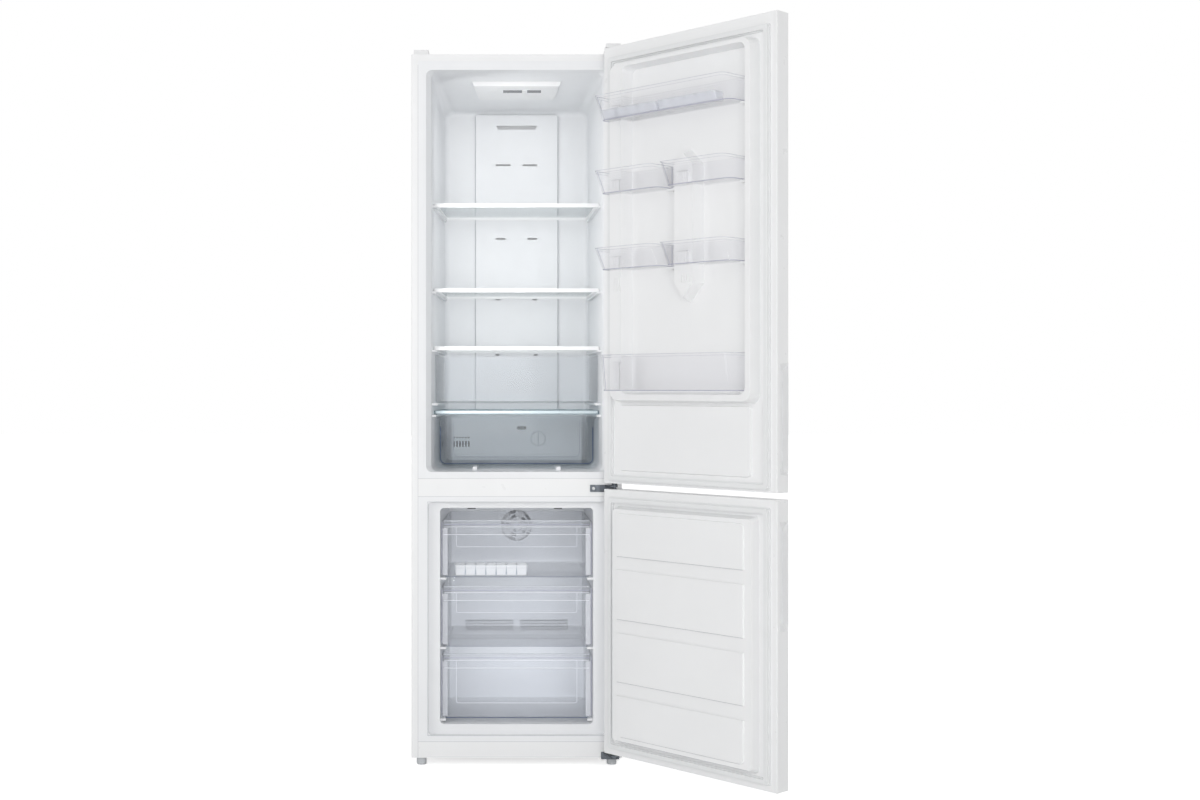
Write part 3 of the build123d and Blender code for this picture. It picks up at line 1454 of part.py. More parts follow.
def make_egg_tray(name, left):
    """Egg tray with a row of cups, shaped to the front of the top bin."""
    bin_bottom, bin_top, floor_front, rim_front = BINS["door_bin_top"][2:6]
    lean = (rim_front - floor_front) / (bin_top - bin_bottom)
    bottom = bin_bottom + BIN_WALL + SEAT
    back = BIN_OVER_DYKE + BIN_WALL + 1
    with BuildPart() as egg_tray:
        for z in (bottom, bottom + EGG_TRAY_HEIGHT):
            front = floor_front + lean * (z - bin_bottom) - BIN_WALL - 1.5
            with BuildSketch(door_level(z)):
                rectangle(left, left + EGG_TRAY_LENGTH, -front, -back, 4)
        loft(ruled=True)
        pitch = EGG_TRAY_LENGTH / EGG_CUPS
        front = floor_front + lean * (bottom - bin_bottom) - BIN_WALL - 1.5
        with BuildSketch(door_level(bottom + EGG_TRAY_HEIGHT)):
            for cup in range(EGG_CUPS):
                with Locations((left + (cup + 0.5) * pitch, -(back + front) / 2 - 3)):
                    Circle(14.5)
        extrude(amount=-(EGG_TRAY_HEIGHT - 3), taper=12, mode=Mode.SUBTRACT)
    save(egg_tray, name)


# ================================================================ hinges and caps
def make_top_hinge():
    """Stepped bracket on the cabinet's top with the upper pin."""
    base = CABINET_TOP + FIT
    over_door = UPPER_DOOR_TOP + 2
    with BuildPart() as top_hinge:
        with BuildSketch(across(HINGE_X - 18)):
            with BuildLine():
                Polyline(
                    (66, base),
                    (66, base + HINGE_PLATE),
                    (2, base + HINGE_PLATE),
                    (2, over_door + HINGE_PLATE),
                    (HINGE_Y - 10, over_door + HINGE_PLATE),
                    (HINGE_Y - 10, over_door),
                    (-1, over_door),
                    (-1, base),
                    close=True,
                )
            make_face()
        extrude(amount=30)
        with BuildSketch(level(over_door)):
            with Locations((HINGE_X, HINGE_Y)):
                Circle(PIN_RADIUS)
        extrude(amount=-(2 + END_CAP - 3))
    save(top_hinge, "top_hinge")


COVER_LEFT = HINGE_X - 25
COVER_RIGHT = HINGE_X + 17
COVER_TOP = CABINET_TOP + 21.0


def cover_outline(inset):
    """Side view of a hinge cover: low over the cabinet's top, lifted over the door."""
    lifted = UPPER_DOOR_TOP + 1.5
    Polygon(
        (82 - inset, CABINET_TOP + FIT - inset),
        (70 - inset, COVER_TOP - inset),
        (HINGE_Y - 10 + inset, COVER_TOP - inset),
        (HINGE_Y - 14 + inset, lifted - inset),
        (-5 + inset, lifted - inset),
        (-5 + inset, CABINET_TOP + FIT - inset),
        align=None,
    )


def make_top_hinge_cover():
    """White plastic cover over the top hinge, open below."""
    wall = 2.0
    with BuildPart() as top_hinge_cover:
        with BuildSketch(across(COVER_LEFT)):
            cover_outline(0)
        extrude(amount=COVER_RIGHT - COVER_LEFT)
        top_edges = top_hinge_cover.faces().sort_by(Axis.Z)[-1].edges()
        fillet(top_edges, 4)
        with BuildSketch(across(COVER_LEFT + wall)):
            cover_outline(wall)
        extrude(amount=COVER_RIGHT - COVER_LEFT - 2 * wall, mode=Mode.SUBTRACT)
    save(top_hinge_cover, "top_hinge_cover")


def make_middle_hinge():
    """Plate screwed to the mullion, with an arm between the doors and a pin for each door."""
    arm_top = UPPER_DOOR_BOTTOM - 8.5
    arm_bottom = arm_top - 4
    screw_z = arm_top - 10
    with BuildPart() as middle_hinge:
        with BuildSketch(upright(0)):
            rectangle(HINGE_X - 67, HINGE_X, arm_top - 20, arm_top, 1.5)
        extrude(amount=HINGE_PLATE)
        with BuildSketch(level(arm_bottom)):
            with BuildLine():
                FilletPolyline(
                    (HINGE_X - 26, 0),
                    (HINGE_X - 13, HINGE_Y - 9),
                    (HINGE_X + 9, HINGE_Y - 9),
                    (HINGE_X + 9, HINGE_Y + 9),
                    (HINGE_X, -HINGE_PLATE),
                    (HINGE_X, 0),
                    radius=[0, 6, 6, 6, 0, 0],
                    close=True,
                )
            make_face()
        extrude(amount=arm_top - arm_bottom)
        with BuildSketch(level(LOWER_DOOR_TOP - END_CAP + 3)):
            with Locations((HINGE_X, HINGE_Y)):
                Circle(PIN_RADIUS)
        extrude(amount=UPPER_DOOR_BOTTOM - LOWER_DOOR_TOP + 2 * END_CAP - 6)
        with BuildSketch(level(arm_top)):
            with Locations((HINGE_X, HINGE_Y)):
                Circle(PIN_RADIUS + 3)
        extrude(amount=UPPER_DOOR_BOTTOM - SEAT - arm_top)
        with BuildSketch(upright(-HINGE_PLATE)):
            with Locations((HINGE_X - 57, screw_z), (HINGE_X - 34, screw_z)):
                Circle(4.5)
        extrude(amount=1.6)
    save(middle_hinge, "middle_hinge")


def make_bottom_hinge():
    """Bracket under the cabinet's front with the lower pin."""
    arm_top = LOWER_DOOR_BOTTOM - 8
    with BuildPart() as bottom_hinge:
        with BuildSketch(upright(-FIT)):
            rectangle(HINGE_X - 36, HINGE_X + 16, CABINET_BOTTOM - 4, arm_top, 2)
        extrude(amount=HINGE_PLATE)
        with BuildSketch(level(arm_top - 4)):
            with BuildLine():
                FilletPolyline(
                    (HINGE_X - 30, -FIT),
                    (HINGE_X - 13, HINGE_Y - 11),
                    (HINGE_X + 11, HINGE_Y - 11),
                    (HINGE_X + 14, -FIT),
                    radius=[0, 7, 7, 0],
                    close=True,
                )
            make_face()
        extrude(amount=4)
        with BuildSketch(level(arm_top - 4)):
            with Locations((HINGE_X, HINGE_Y)):
                Circle(PIN_RADIUS)
        extrude(amount=LOWER_DOOR_BOTTOM - arm_top + END_CAP + 1)
        with BuildSketch(level(arm_top)):
            with Locations((HINGE_X, HINGE_Y)):
                Circle(PIN_RADIUS + 4)
        extrude(amount=LOWER_DOOR_BOTTOM - SEAT - arm_top)
        with BuildSketch(level(arm_top - 4)):
            with Locations((HINGE_X, HINGE_Y)):
                Circle(PIN_RADIUS + 5)
        extrude(amount=-6)
    save(bottom_hinge, "bottom_hinge")


def make_blank_caps():
    """Caps over the hinge places that are not in use, at the left."""
    with BuildPart() as blank_caps:
        with BuildSketch(across(-HINGE_X - 17)):
            with BuildLine():
                Polyline(
                    (70, CABINET_TOP + FIT),
                    (62, CABINET_TOP + 14),
                    (6, CABINET_TOP + 14),
                    (2, CABINET_TOP + FIT),
                    close=True,
                )
            make_face()
        extrude(amount=42)
        low = CABINET_BOTTOM + 9.5
        high = UPPER_DOOR_BOTTOM - 15.5
        for from_side, z in ((11.5, low), (52, low), (76.5, high)):
            with BuildSketch(upright(-FIT)):
                with Locations((from_side - HALF_WIDTH, z)):
                    Circle(5)
            extrude(amount=1.2)
    save(blank_caps, "blank_caps")


# ================================================================ feet, rollers and the bay
def make_front_foot(name, side):
    """Levelling foot: a round pad on a threaded stud."""
    with BuildPart() as foot:
        with BuildSketch(level(0)):
            with Locations((side * FOOT_X, FOOT_Y)):
                Circle(FOOT_RADIUS)
        extrude(amount=CABINET_BOTTOM - SEAT)
        chamfer(foot.edges().filter_by(GeomType.CIRCLE), 1.5)
        with BuildSketch(level(CABINET_BOTTOM - SEAT)):
            with Locations((side * FOOT_X, FOOT_Y)):
                Circle(STUD_RADIUS)
        extrude(amount=17)
    save(foot, name)


def make_roller(name, side):
    """Rear roller on its axle."""
    with BuildPart() as roller:
        with BuildSketch(across(side * ROLLER_X - ROLLER_WIDTH / 2)):
            with Locations((ROLLER_Y, ROLLER_RADIUS)):
                Circle(ROLLER_RADIUS)
                Circle(AXLE_RADIUS + 0.1, mode=Mode.SUBTRACT)
        extrude(amount=ROLLER_WIDTH)
    save(roller, name)


COMPRESSOR_X = -110.0
COMPRESSOR_Y = CABINET_DEPTH - 84.0
COMPRESSOR_RADIUS = 68.0


def make_compressor():
    """Compressor: a domed can on a plate with four rubber-footed lugs."""
    floor = CABINET_BOTTOM + BASE_SHEET + FIT
    with BuildPart() as compressor:
        with BuildSketch(level(floor + 14)):
            with Locations((COMPRESSOR_X, COMPRESSOR_Y)):
                Circle(COMPRESSOR_RADIUS)
        extrude(amount=150)
        fillet(compressor.edges().filter_by(GeomType.CIRCLE).sort_by(Axis.Z)[-1], 34)
        with BuildSketch(level(floor + 14)):
            with Locations((COMPRESSOR_X, COMPRESSOR_Y)):
                RectangleRounded(190, 120, 12)
        extrude(amount=3)
        with BuildSketch(level(floor)):
            with Locations((COMPRESSOR_X, COMPRESSOR_Y)):
                with GridLocations(160, 90, 2, 2):
                    Circle(11)
        extrude(amount=14)
        with BuildSketch(across(COMPRESSOR_X + COMPRESSOR_RADIUS - 4)):
            rectangle(COMPRESSOR_Y - 28, COMPRESSOR_Y + 28, floor + 50, floor + 120, 6)
        extrude(amount=30)
    save(compressor, "compressor")


def make_compressor_cover():
    """Sheet over the bay's open back with rows of air slots."""
    rear = BACK_SHEET_REAR
    with BuildPart() as compressor_cover:
        with BuildSketch(upright(rear + FIT)):
            rectangle(
                -HALF_WIDTH + REAR_FLANGE + FIT,
                HALF_WIDTH - REAR_FLANGE - FIT,
                CABINET_BOTTOM + BASE_SHEET + FIT,
                BAY_TOP + 15,
                4,
            )
        extrude(amount=-(SHEET - FIT))
        with BuildSketch(upright(rear + FIT)):
            for row in range(5):
                z = CABINET_BOTTOM + 60 + row * 24
                for middle in (-150, 0, 150):
                    rectangle(middle - 60, middle + 60, z, z + 8, 3.5)
        extrude(amount=-SHEET, mode=Mode.SUBTRACT)
    save(compressor_cover, "compressor_cover")


# ================================================================ build
fridge_inner = fridge_space(0)
fridge_outer = fridge_space(LINER)
fridge_cut = fridge_space(LINER + FIT)
freezer_inner = freezer_space(0)
freezer_outer = freezer_space(LINER)
freezer_cut = freezer_space(LINER + FIT)

make_side_panel("side_panel_left", -1)
make_side_panel("side_panel_right", 1)
make_top_panel()
make_back_panel()
make_base_frame()
make_cabinet_foam(fridge_cut, freezer_cut)
make_fridge_liner(fridge_outer, fridge_inner)
make_freezer_liner(freezer_outer, freezer_inner)
make_mullion_cover()
make_duct_cover(fridge_space(-SEAT))
make_airflow_knob()
make_evaporator_cover()
make_evaporator()
make_evaporator_fan()
make_fan_motor()
make_control_panel()
make_display_window()
make_panel_button()
for shelf_name, shelf_top in SHELF_TOPS.items():
    make_shelf(shelf_name, shelf_top)
make_crisper_cover()
make_chiller_tray()
make_crisper_drawer()
for drawer_name, drawer_sizes in FREEZER_DRAWERS.items():
    make_freezer_drawer(drawer_name, *drawer_sizes)
make_ice_tray()
make_door_shell("upper", UPPER_DOOR_BOTTOM, UPPER_DOOR_TOP)
make_door_shell("lower", LOWER_DOOR_BOTTOM, LOWER_DOOR_TOP)
make_gasket("upper", *UPPER_GASKET)
make_gasket("lower", *LOWER_GASKET)
make_upper_liner()
make_lower_liner()
for bin_name, bin_sizes in BINS.items():
    make_bin(bin_name, *bin_sizes)
for tray_name, tray_left in EGG_TRAYS.items():
    make_egg_tray(tray_name, tray_left)
make_top_hinge()
make_top_hinge_cover()
make_middle_hinge()
make_bottom_hinge()
make_blank_caps()
make_front_foot("front_foot_left", -1)
make_front_foot("front_foot_right", 1)
make_roller("rear_roller_left", -1)
make_roller("rear_roller_right", 1)
make_compressor()
make_compressor_cover()
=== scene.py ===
import math

import bmesh
import bpy
from mathutils import Matrix, Vector


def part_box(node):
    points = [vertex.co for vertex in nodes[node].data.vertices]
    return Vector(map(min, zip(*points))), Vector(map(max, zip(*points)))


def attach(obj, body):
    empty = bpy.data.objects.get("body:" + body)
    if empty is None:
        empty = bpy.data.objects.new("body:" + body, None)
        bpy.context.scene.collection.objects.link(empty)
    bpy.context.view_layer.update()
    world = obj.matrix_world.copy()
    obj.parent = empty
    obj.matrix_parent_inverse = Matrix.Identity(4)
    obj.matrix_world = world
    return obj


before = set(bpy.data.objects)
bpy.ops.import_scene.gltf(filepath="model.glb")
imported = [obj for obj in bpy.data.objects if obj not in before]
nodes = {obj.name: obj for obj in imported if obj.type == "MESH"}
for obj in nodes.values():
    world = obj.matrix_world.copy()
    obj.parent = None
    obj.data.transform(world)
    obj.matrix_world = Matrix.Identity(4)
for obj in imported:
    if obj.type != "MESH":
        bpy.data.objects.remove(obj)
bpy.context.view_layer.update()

# ---------------------------------------------------------------- photograph and camera
PHOTO_WIDTH = 1200
PHOTO_HEIGHT = 800
CAMERA_DISTANCE = 4.220
FLANGE_SCALE = 354.0  # photograph pixels to a metre at the cabinet's front flange
CABINET_MIDDLE_PX = 516.6
HORIZON_PX = 388.0
FLOOR_PX = 765.9
SENSOR = 36.0


def make_camera():
    """Level camera in front of the cabinet's middle, shifted to the photograph's framing."""
    data = bpy.data.cameras.new("photo_camera")
    camera = bpy.data.objects.new("photo_camera", data)
    bpy.context.scene.collection.objects.link(camera)
    camera.location = (0, -CAMERA_DISTANCE, (FLOOR_PX - HORIZON_PX) / FLANGE_SCALE)
    camera.rotation_euler = (math.radians(90), 0, 0)
    data.sensor_width = SENSOR
    data.lens = FLANGE_SCALE * CAMERA_DISTANCE / PHOTO_WIDTH * SENSOR
    data.shift_x = (PHOTO_WIDTH / 2 - CABINET_MIDDLE_PX) / PHOTO_WIDTH
    data.shift_y = (HORIZON_PX - PHOTO_HEIGHT / 2) / PHOTO_WIDTH
    bpy.context.scene.camera = camera


# ---------------------------------------------------------------- node helpers
def new_material(name):
    """An empty node material, its node tree and its output node."""
    material = bpy.data.materials.new(name)
    material.use_nodes = True
    tree = material.node_tree
    tree.nodes.clear()
    output = tree.nodes.new("ShaderNodeOutputMaterial")
    return material, tree, output


def noise(tree, scale, detail=3.0, stretch=(1, 1, 1)):
    """Factor of a noise texture in object coordinates."""
    coordinates = tree.nodes.new("ShaderNodeTexCoord")
    mapping = tree.nodes.new("ShaderNodeMapping")
    mapping.inputs["Scale"].default_value = stretch
    texture = tree.nodes.new("ShaderNodeTexNoise")
    texture.inputs["Scale"].default_value = scale
    texture.inputs["Detail"].default_value = detail
    tree.links.new(coordinates.outputs["Object"], mapping.inputs["Vector"])
    tree.links.new(mapping.outputs["Vector"], texture.inputs["Vector"])
    return texture.outputs["Fac"]


def ramp(tree, source, low, high, start=0.3, end=0.7):
    """Colour ramp from low to high, driven by an output."""
    node = tree.nodes.new("ShaderNodeValToRGB")
    node.color_ramp.elements[0].position = start
    node.color_ramp.elements[0].color = (*low, 1)
    node.color_ramp.elements[1].position = end
    node.color_ramp.elements[1].color = (*high, 1)
    tree.links.new(source, node.inputs["Fac"])
    return node.outputs["Color"]


def grey_ramp(tree, source, low, high, start=0.3, end=0.7):
    """Ramp between two plain values."""
    return ramp(tree, source, (low,) * 3, (high,) * 3, start, end)


def calculate(tree, operation, *values):
    """Result of a math node on values that are outputs or numbers."""
    node = tree.nodes.new("ShaderNodeMath")
    node.operation = operation
    for place, value in zip(node.inputs, values):
        if isinstance(value, bpy.types.NodeSocket):
            tree.links.new(value, place)
        else:
            place.default_value = value
    return node.outputs[0]


def mix_shaders(tree, share, first, second):
    """Shader that goes from the first to the second as the share goes from 0 to 1."""
    node = tree.nodes.new("ShaderNodeMixShader")
    tree.links.new(share, node.inputs["Fac"])
    tree.links.new(first, node.inputs[1])
    tree.links.new(second, node.inputs[2])
    return node.outputs["Shader"]


def facing(tree, blend):
    """Layer weight that is 0 head on and 1 edge on."""
    node = tree.nodes.new("ShaderNodeLayerWeight")
    node.inputs["Blend"].default_value = blend
    return node.outputs["Facing"]


# ---------------------------------------------------------------- materials
COAT_ROUGHNESS = 0.12
PATCHES_PER_CLOUD = 7
PATCH_SPREAD = (0.85, 1.15)
GRAIN_DETAIL = 2.0
GRAIN_DEPTH = 0.0005
GLOSS_SPREAD = (0.8, 1.3)

BODY_ROUGHNESS = 0.35
BODY_CLOUD_SCALE = 14.0
BODY_VARY = 0.02
SMEAR_SCALE = 60.0
EDGE_BLEND = 0.30
EDGE_START = 0.40
MIRROR_BLEND = 0.5
MIRROR_POWER = 5.0
MIRROR_LEAST = 0.012

STREAK_SCALE = 220.0
STREAK_DETAIL = 4.0
STREAK_STRETCH = (1, 1, 0.05)
STREAK_SHADE = 0.85


def surface(name, color, roughness, vary=0.02, scale=6.0, bump=0.0, bump_scale=900.0, coat=0.0):
    """Opaque material: slowly varying colour and roughness, with a fine grain where it has one."""
    material, tree, output = new_material(name)
    shader = tree.nodes.new("ShaderNodeBsdfPrincipled")
    shader.inputs["Coat Weight"].default_value = coat
    shader.inputs["Coat Roughness"].default_value = COAT_ROUGHNESS
    dark = tuple(max(0.0, c - vary) for c in color)
    light = tuple(min(1.0, c + vary) for c in color)
    tint = ramp(tree, noise(tree, scale), dark, light)
    tree.links.new(tint, shader.inputs["Base Color"])
    low, high = (min(1.0, roughness * spread) for spread in PATCH_SPREAD)
    gloss = grey_ramp(tree, noise(tree, scale * PATCHES_PER_CLOUD), low, high)
    tree.links.new(gloss, shader.inputs["Roughness"])
    if bump > 0:
        relief = tree.nodes.new("ShaderNodeBump")
        relief.inputs["Strength"].default_value = bump
        relief.inputs["Distance"].default_value = GRAIN_DEPTH
        tree.links.new(noise(tree, bump_scale, GRAIN_DETAIL), relief.inputs["Height"])
        tree.links.new(relief.outputs["Normal"], shader.inputs["Normal"])
    tree.links.new(shader.outputs["BSDF"], output.inputs["Surface"])
    return material


def clear(name, color, alpha, edge_alpha, tint, roughness=0.05, mirror_share=0.70):
    """Clear moulded plastic or glass: tinted, denser edge on, with a glossy skin.

    For camera and transmission rays a back face refracts at an index of 1, which bends nothing and
    keeps many clear walls in a row open. Shadow rays meet plain tint, so lamps shine through.
    """
    material, tree, output = new_material(name)
    ray = tree.nodes.new("ShaderNodeLightPath")
    side = tree.nodes.new("ShaderNodeNewGeometry")

    body = tree.nodes.new("ShaderNodeBsdfPrincipled")
    body.inputs["Roughness"].default_value = BODY_ROUGHNESS
    dark = tuple(max(0.0, c - BODY_VARY) for c in color)
    shade = ramp(tree, noise(tree, BODY_CLOUD_SCALE), dark, color)
    tree.links.new(shade, body.inputs["Base Color"])

    open_face = tree.nodes.new("ShaderNodeBsdfTransparent")
    open_face.inputs["Color"].default_value = (*tint, 1)
    far_face = tree.nodes.new("ShaderNodeBsdfRefraction")
    far_face.inputs["Color"].default_value = (*tint, 1)
    far_face.inputs["Roughness"].default_value = 0.0
    far_face.inputs["IOR"].default_value = 1.0
    sight = calculate(
        tree, "MAXIMUM", ray.outputs["Is Camera Ray"], ray.outputs["Is Transmission Ray"]
    )
    from_inside = calculate(tree, "MULTIPLY", side.outputs["Backfacing"], sight)
    through = mix_shaders(tree, from_inside, open_face.outputs["BSDF"], far_face.outputs["BSDF"])

    density = grey_ramp(tree, facing(tree, EDGE_BLEND), alpha, edge_alpha, EDGE_START, 1.0)
    wall = mix_shaders(tree, density, through, body.outputs["BSDF"])

    mirror = tree.nodes.new("ShaderNodeBsdfGlossy")
    low, high = (roughness * spread for spread in GLOSS_SPREAD)
    tree.links.new(grey_ramp(tree, noise(tree, SMEAR_SCALE), low, high), mirror.inputs["Roughness"])
    steep = calculate(tree, "POWER", facing(tree, MIRROR_BLEND), MIRROR_POWER)
    bounce = calculate(tree, "MULTIPLY_ADD", steep, mirror_share, MIRROR_LEAST)
    skin = mix_shaders(tree, bounce, wall, mirror.outputs["BSDF"])

    lit_through = mix_shaders(tree, ray.outputs["Is Shadow Ray"], skin, open_face.outputs["BSDF"])
    tree.links.new(lit_through, output.inputs["Surface"])
    return material


def brushed(name, color, roughness):
    """Brushed or plated metal with fine streaks."""
    material, tree, output = new_material(name)
    shader = tree.nodes.new("ShaderNodeBsdfPrincipled")
    shader.inputs["Metallic"].default_value = 1.0
    streak = noise(tree, STREAK_SCALE, STREAK_DETAIL, STREAK_STRETCH)
    dark = tuple(c * STREAK_SHADE for c in color)
    tree.links.new(ramp(tree, streak, dark, color), shader.inputs["Base Color"])
    low, high = (roughness * spread for spread in GLOSS_SPREAD)
    tree.links.new(grey_ramp(tree, streak, low, high), shader.inputs["Roughness"])
    tree.links.new(shader.outputs["BSDF"], output.inputs["Surface"])
    return material


# Opaque: name, colour, roughness, variation, its scale, grain and the grain's scale.
WHITE_PAINT = surface(
    "white_paint", (0.86, 0.865, 0.87), 0.32, 0.006, 5.0, 0.012, 700.0, coat=0.12
)
LINER = surface("liner_plastic", (0.84, 0.85, 0.865), 0.38, 0.012, 4.0, 0.06, 1200.0)
DOOR_LINER = surface("door_liner_plastic", (0.87, 0.875, 0.88), 0.36, 0.010, 4.0, 0.06, 1200.0)
WHITE_PLASTIC = surface("white_plastic", (0.85, 0.855, 0.86), 0.34, 0.012, 9.0, 0.08, 1500.0)
GREY_PLASTIC = surface("grey_plastic", (0.55, 0.57, 0.59), 0.42, 0.02, 20.0, 0.10, 1500.0)
SMOKED = surface("smoked_window", (0.10, 0.11, 0.12), 0.14, 0.01, 20.0)
GASKET = surface("gasket_rubber", (0.80, 0.81, 0.815), 0.55, 0.012, 14.0, 0.12, 1600.0)
BLACK_RUBBER = surface("black_rubber", (0.03, 0.03, 0.032), 0.65, 0.006, 30.0, 0.20, 900.0)
FOAM = surface("insulation_foam", (0.80, 0.74, 0.52), 0.85, 0.04, 40.0, 0.40, 500.0)
BLACK_STEEL = surface("black_steel", (0.03, 0.03, 0.033), 0.38, 0.006, 12.0, 0.10, 600.0)
BLACK_PLASTIC = surface("black_plastic", (0.02, 0.02, 0.024), 0.45, 0.004, 30.0, 0.10, 900.0)
# Colours of painted lines. The pale and bright ones are painted highlights along edges. The lilac,
# navy, seam greys and shadow grey are painted shade along edges, seams and gaps.
LILAC_EDGE_SHADE = surface("lilac_edge_shade", (0.45, 0.45, 0.55), 0.25, 0.01, 40.0)
PALE_EDGE_HIGHLIGHT = surface("pale_edge_highlight", (0.66, 0.66, 0.72), 0.25, 0.01, 40.0)
BRIGHT_EDGE_HIGHLIGHT = surface("bright_edge_highlight", (0.86, 0.88, 0.92), 0.30, 0.01, 40.0)
NAVY_EDGE_SHADE = surface("navy_edge_shade", (0.05, 0.08, 0.16), 0.30, 0.008, 40.0)
PALE_SEAM_SHADE = surface("pale_seam_shade", (0.56, 0.57, 0.59), 0.60, 0.02, 40.0)
GREY_SEAM_SHADE = surface("seam_grey_shade", (0.42, 0.44, 0.47), 0.60, 0.02, 40.0)
SHADOW_GREY = surface("shadow_grey", (0.36, 0.40, 0.46), 0.60, 0.02, 40.0)

# Metal: name, colour and roughness.
ZINC = brushed("zinc_steel", (0.62, 0.63, 0.64), 0.32)
DARK_ZINC = brushed("dark_zinc", (0.11, 0.12, 0.135), 0.45)
ALUMINIUM = brushed("evaporator_aluminium", (0.78, 0.79, 0.80), 0.30)

# Clear: name, body colour, density head on and edge on, tint of what shows through, roughness.
CLEAR_PLASTIC = clear("clear_plastic", (0.88, 0.88, 0.93), 0.006, 0.24, (0.996, 0.996, 0.999))
EGG_PLASTIC = clear("egg_tray_plastic", (0.84, 0.86, 0.90), 0.45, 0.85, (0.98, 0.98, 0.99), 0.10)
CHILLER_PLASTIC = clear(
    "chiller_plastic", (0.82, 0.87, 0.93), 0.02, 0.24, (0.986, 0.991, 0.996)
)
COVER_GLASS = clear(
    "cover_glass", (0.34, 0.45, 0.50), 0.10, 0.90, (0.88, 0.93, 0.95), mirror_share=0.12
)
DRAWER_PLASTIC = clear(
    "drawer_plastic", (0.84, 0.87, 0.94), 0.085, 0.34, (0.985, 0.99, 0.997), 0.08
)
CRISPER_PLASTIC = clear(
    "crisper_plastic", (0.72, 0.78, 0.85), 0.02, 0.20, (0.968, 0.980, 0.989), 0.05
)
SHELF_GLASS = clear("shelf_glass", (0.70, 0.80, 0.84), 0.015, 0.45, (0.975, 0.988, 0.99), 0.02)
BORDER_PLASTIC = clear("border_plastic", (0.86, 0.88, 0.93), 0.42, 0.70, (0.99, 0.99, 0.995))

NODE_MATERIALS = {
    "side_panel_left": WHITE_PAINT,
    "side_panel_right": WHITE_PAINT,
    "top_panel": WHITE_PAINT,
    "back_panel": WHITE_PAINT,
    "base_frame": WHITE_PAINT,
    "cabinet_foam": FOAM,
    "fridge_liner": LINER,
    "freezer_liner": LINER,
    "mullion_cover": WHITE_PAINT,
    "duct_cover": LINER,
    "evaporator_cover": LINER,
    "evaporator": ALUMINIUM,
    "evaporator_fan": WHITE_PLASTIC,
    "fan_motor": ZINC,
    "control_panel": WHITE_PLASTIC,
    "display_window": SMOKED,
    "panel_button": WHITE_PLASTIC,
    "airflow_knob": WHITE_PLASTIC,
    "ice_tray": WHITE_PLASTIC,
    "upper_door_skin": WHITE_PAINT,
    "lower_door_skin": WHITE_PAINT,
    "upper_door_caps": WHITE_PLASTIC,
    "lower_door_caps": WHITE_PLASTIC,
    "upper_door_foam": FOAM,
    "lower_door_foam": FOAM,
    "upper_door_liner": DOOR_LINER,
    "lower_door_liner": DOOR_LINER,
    "upper_door_gasket": GASKET,
    "lower_door_gasket": GASKET,
    "top_hinge": ZINC,
    "top_hinge_cover": WHITE_PLASTIC,
    "middle_hinge": DARK_ZINC,
    "bottom_hinge": DARK_ZINC,
    "blank_caps": WHITE_PLASTIC,
    "front_foot_left": GREY_PLASTIC,
    "front_foot_right": GREY_PLASTIC,
    "rear_roller_left": BLACK_RUBBER,
    "rear_roller_right": BLACK_RUBBER,
    "compressor": BLACK_STEEL,
    "compressor_cover": ZINC,
    "crisper_cover": COVER_GLASS,
    "chiller_tray": CHILLER_PLASTIC,
    "crisper_drawer": CRISPER_PLASTIC,
    "egg_tray_left": EGG_PLASTIC,
    "egg_tray_right": EGG_PLASTIC,
}


def material_for(name):
    """The material of a CAD node: named above, or worked out from the family it belongs to."""
    if name in NODE_MATERIALS:
        return NODE_MATERIALS[name]
    if name.endswith("_glass"):
        return SHELF_GLASS
    if name.endswith("_trim"):
        return WHITE_PLASTIC
    if name.startswith("freezer_drawer"):
        return DRAWER_PLASTIC
    return CLEAR_PLASTIC


def dress_cad_nodes():
    """Give each CAD node its material."""
    for name, piece in nodes.items():
        piece.data.materials.clear()
        piece.data.materials.append(material_for(name))


# ---------------------------------------------------------------- piece helpers
LINE_RESOLUTION = 2
BEVEL_SEGMENTS = 2
BEVEL_PROFILE = 0.5


def add_piece(name, mesh, material, body):
    """Link a finished mesh or curve as a piece that rides on a body."""
    piece = bpy.data.objects.new(name, mesh)
    bpy.context.scene.collection.objects.link(piece)
    piece.data.materials.append(material)
    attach(piece, body)


def round_line(name, points, radius, material, body):
    """Thin round line through the points, for a painted highlight or painted shade along an edge or
    seam.
    """
    curve = bpy.data.curves.new(name, "CURVE")
    curve.dimensions = "3D"
    curve.bevel_depth = radius
    curve.bevel_resolution = LINE_RESOLUTION
    spline = curve.splines.new("POLY")
    spline.points.add(len(points) - 1)
    for point, place in zip(spline.points, points):
        point.co = (*place, 1)
    add_piece(name, curve, material, body)


def circle(radius, steps):
    """Offsets of the points of a closed circle."""
    angles = [2 * math.pi * step / steps for step in range(steps + 1)]
    return [(radius * math.cos(angle), radius * math.sin(angle)) for angle in angles]


def u_path(half, bottom, top, depth, radius, steps=8):
    """Points of an upright U with rounded lower corners, in the plane at one depth."""
    points = [(-half, depth, top)]
    for side, start in ((-1, 180), (1, 270)):
        for step in range(steps + 1):
            angle = math.radians(start + 90 * step / steps)
            x = side * (half - radius) + radius * math.cos(angle)
            points.append((x, depth, bottom + radius + radius * math.sin(angle)))
    points.append((half, depth, top))
    return points


def bevelled_box(name, low, high, radius, material, body):
    """Small block with rounded edges between two corners."""
    mesh = bpy.data.meshes.new(name)
    shape = bmesh.new()
    middle = [(a + b) / 2 for a, b in zip(low, high)]
    size = [b - a for a, b in zip(low, high)]
    matrix = Matrix.Translation(middle) @ Matrix.Diagonal((*size, 1))
    bmesh.ops.create_cube(shape, size=1.0, matrix=matrix)
    bmesh.ops.bevel(
        shape,
        geom=shape.edges[:],
        offset=radius,
        segments=BEVEL_SEGMENTS,
        affect="EDGES",
        profile=BEVEL_PROFILE,
    )
    shape.to_mesh(mesh)
    shape.free()
    add_piece(name, mesh, material, body)


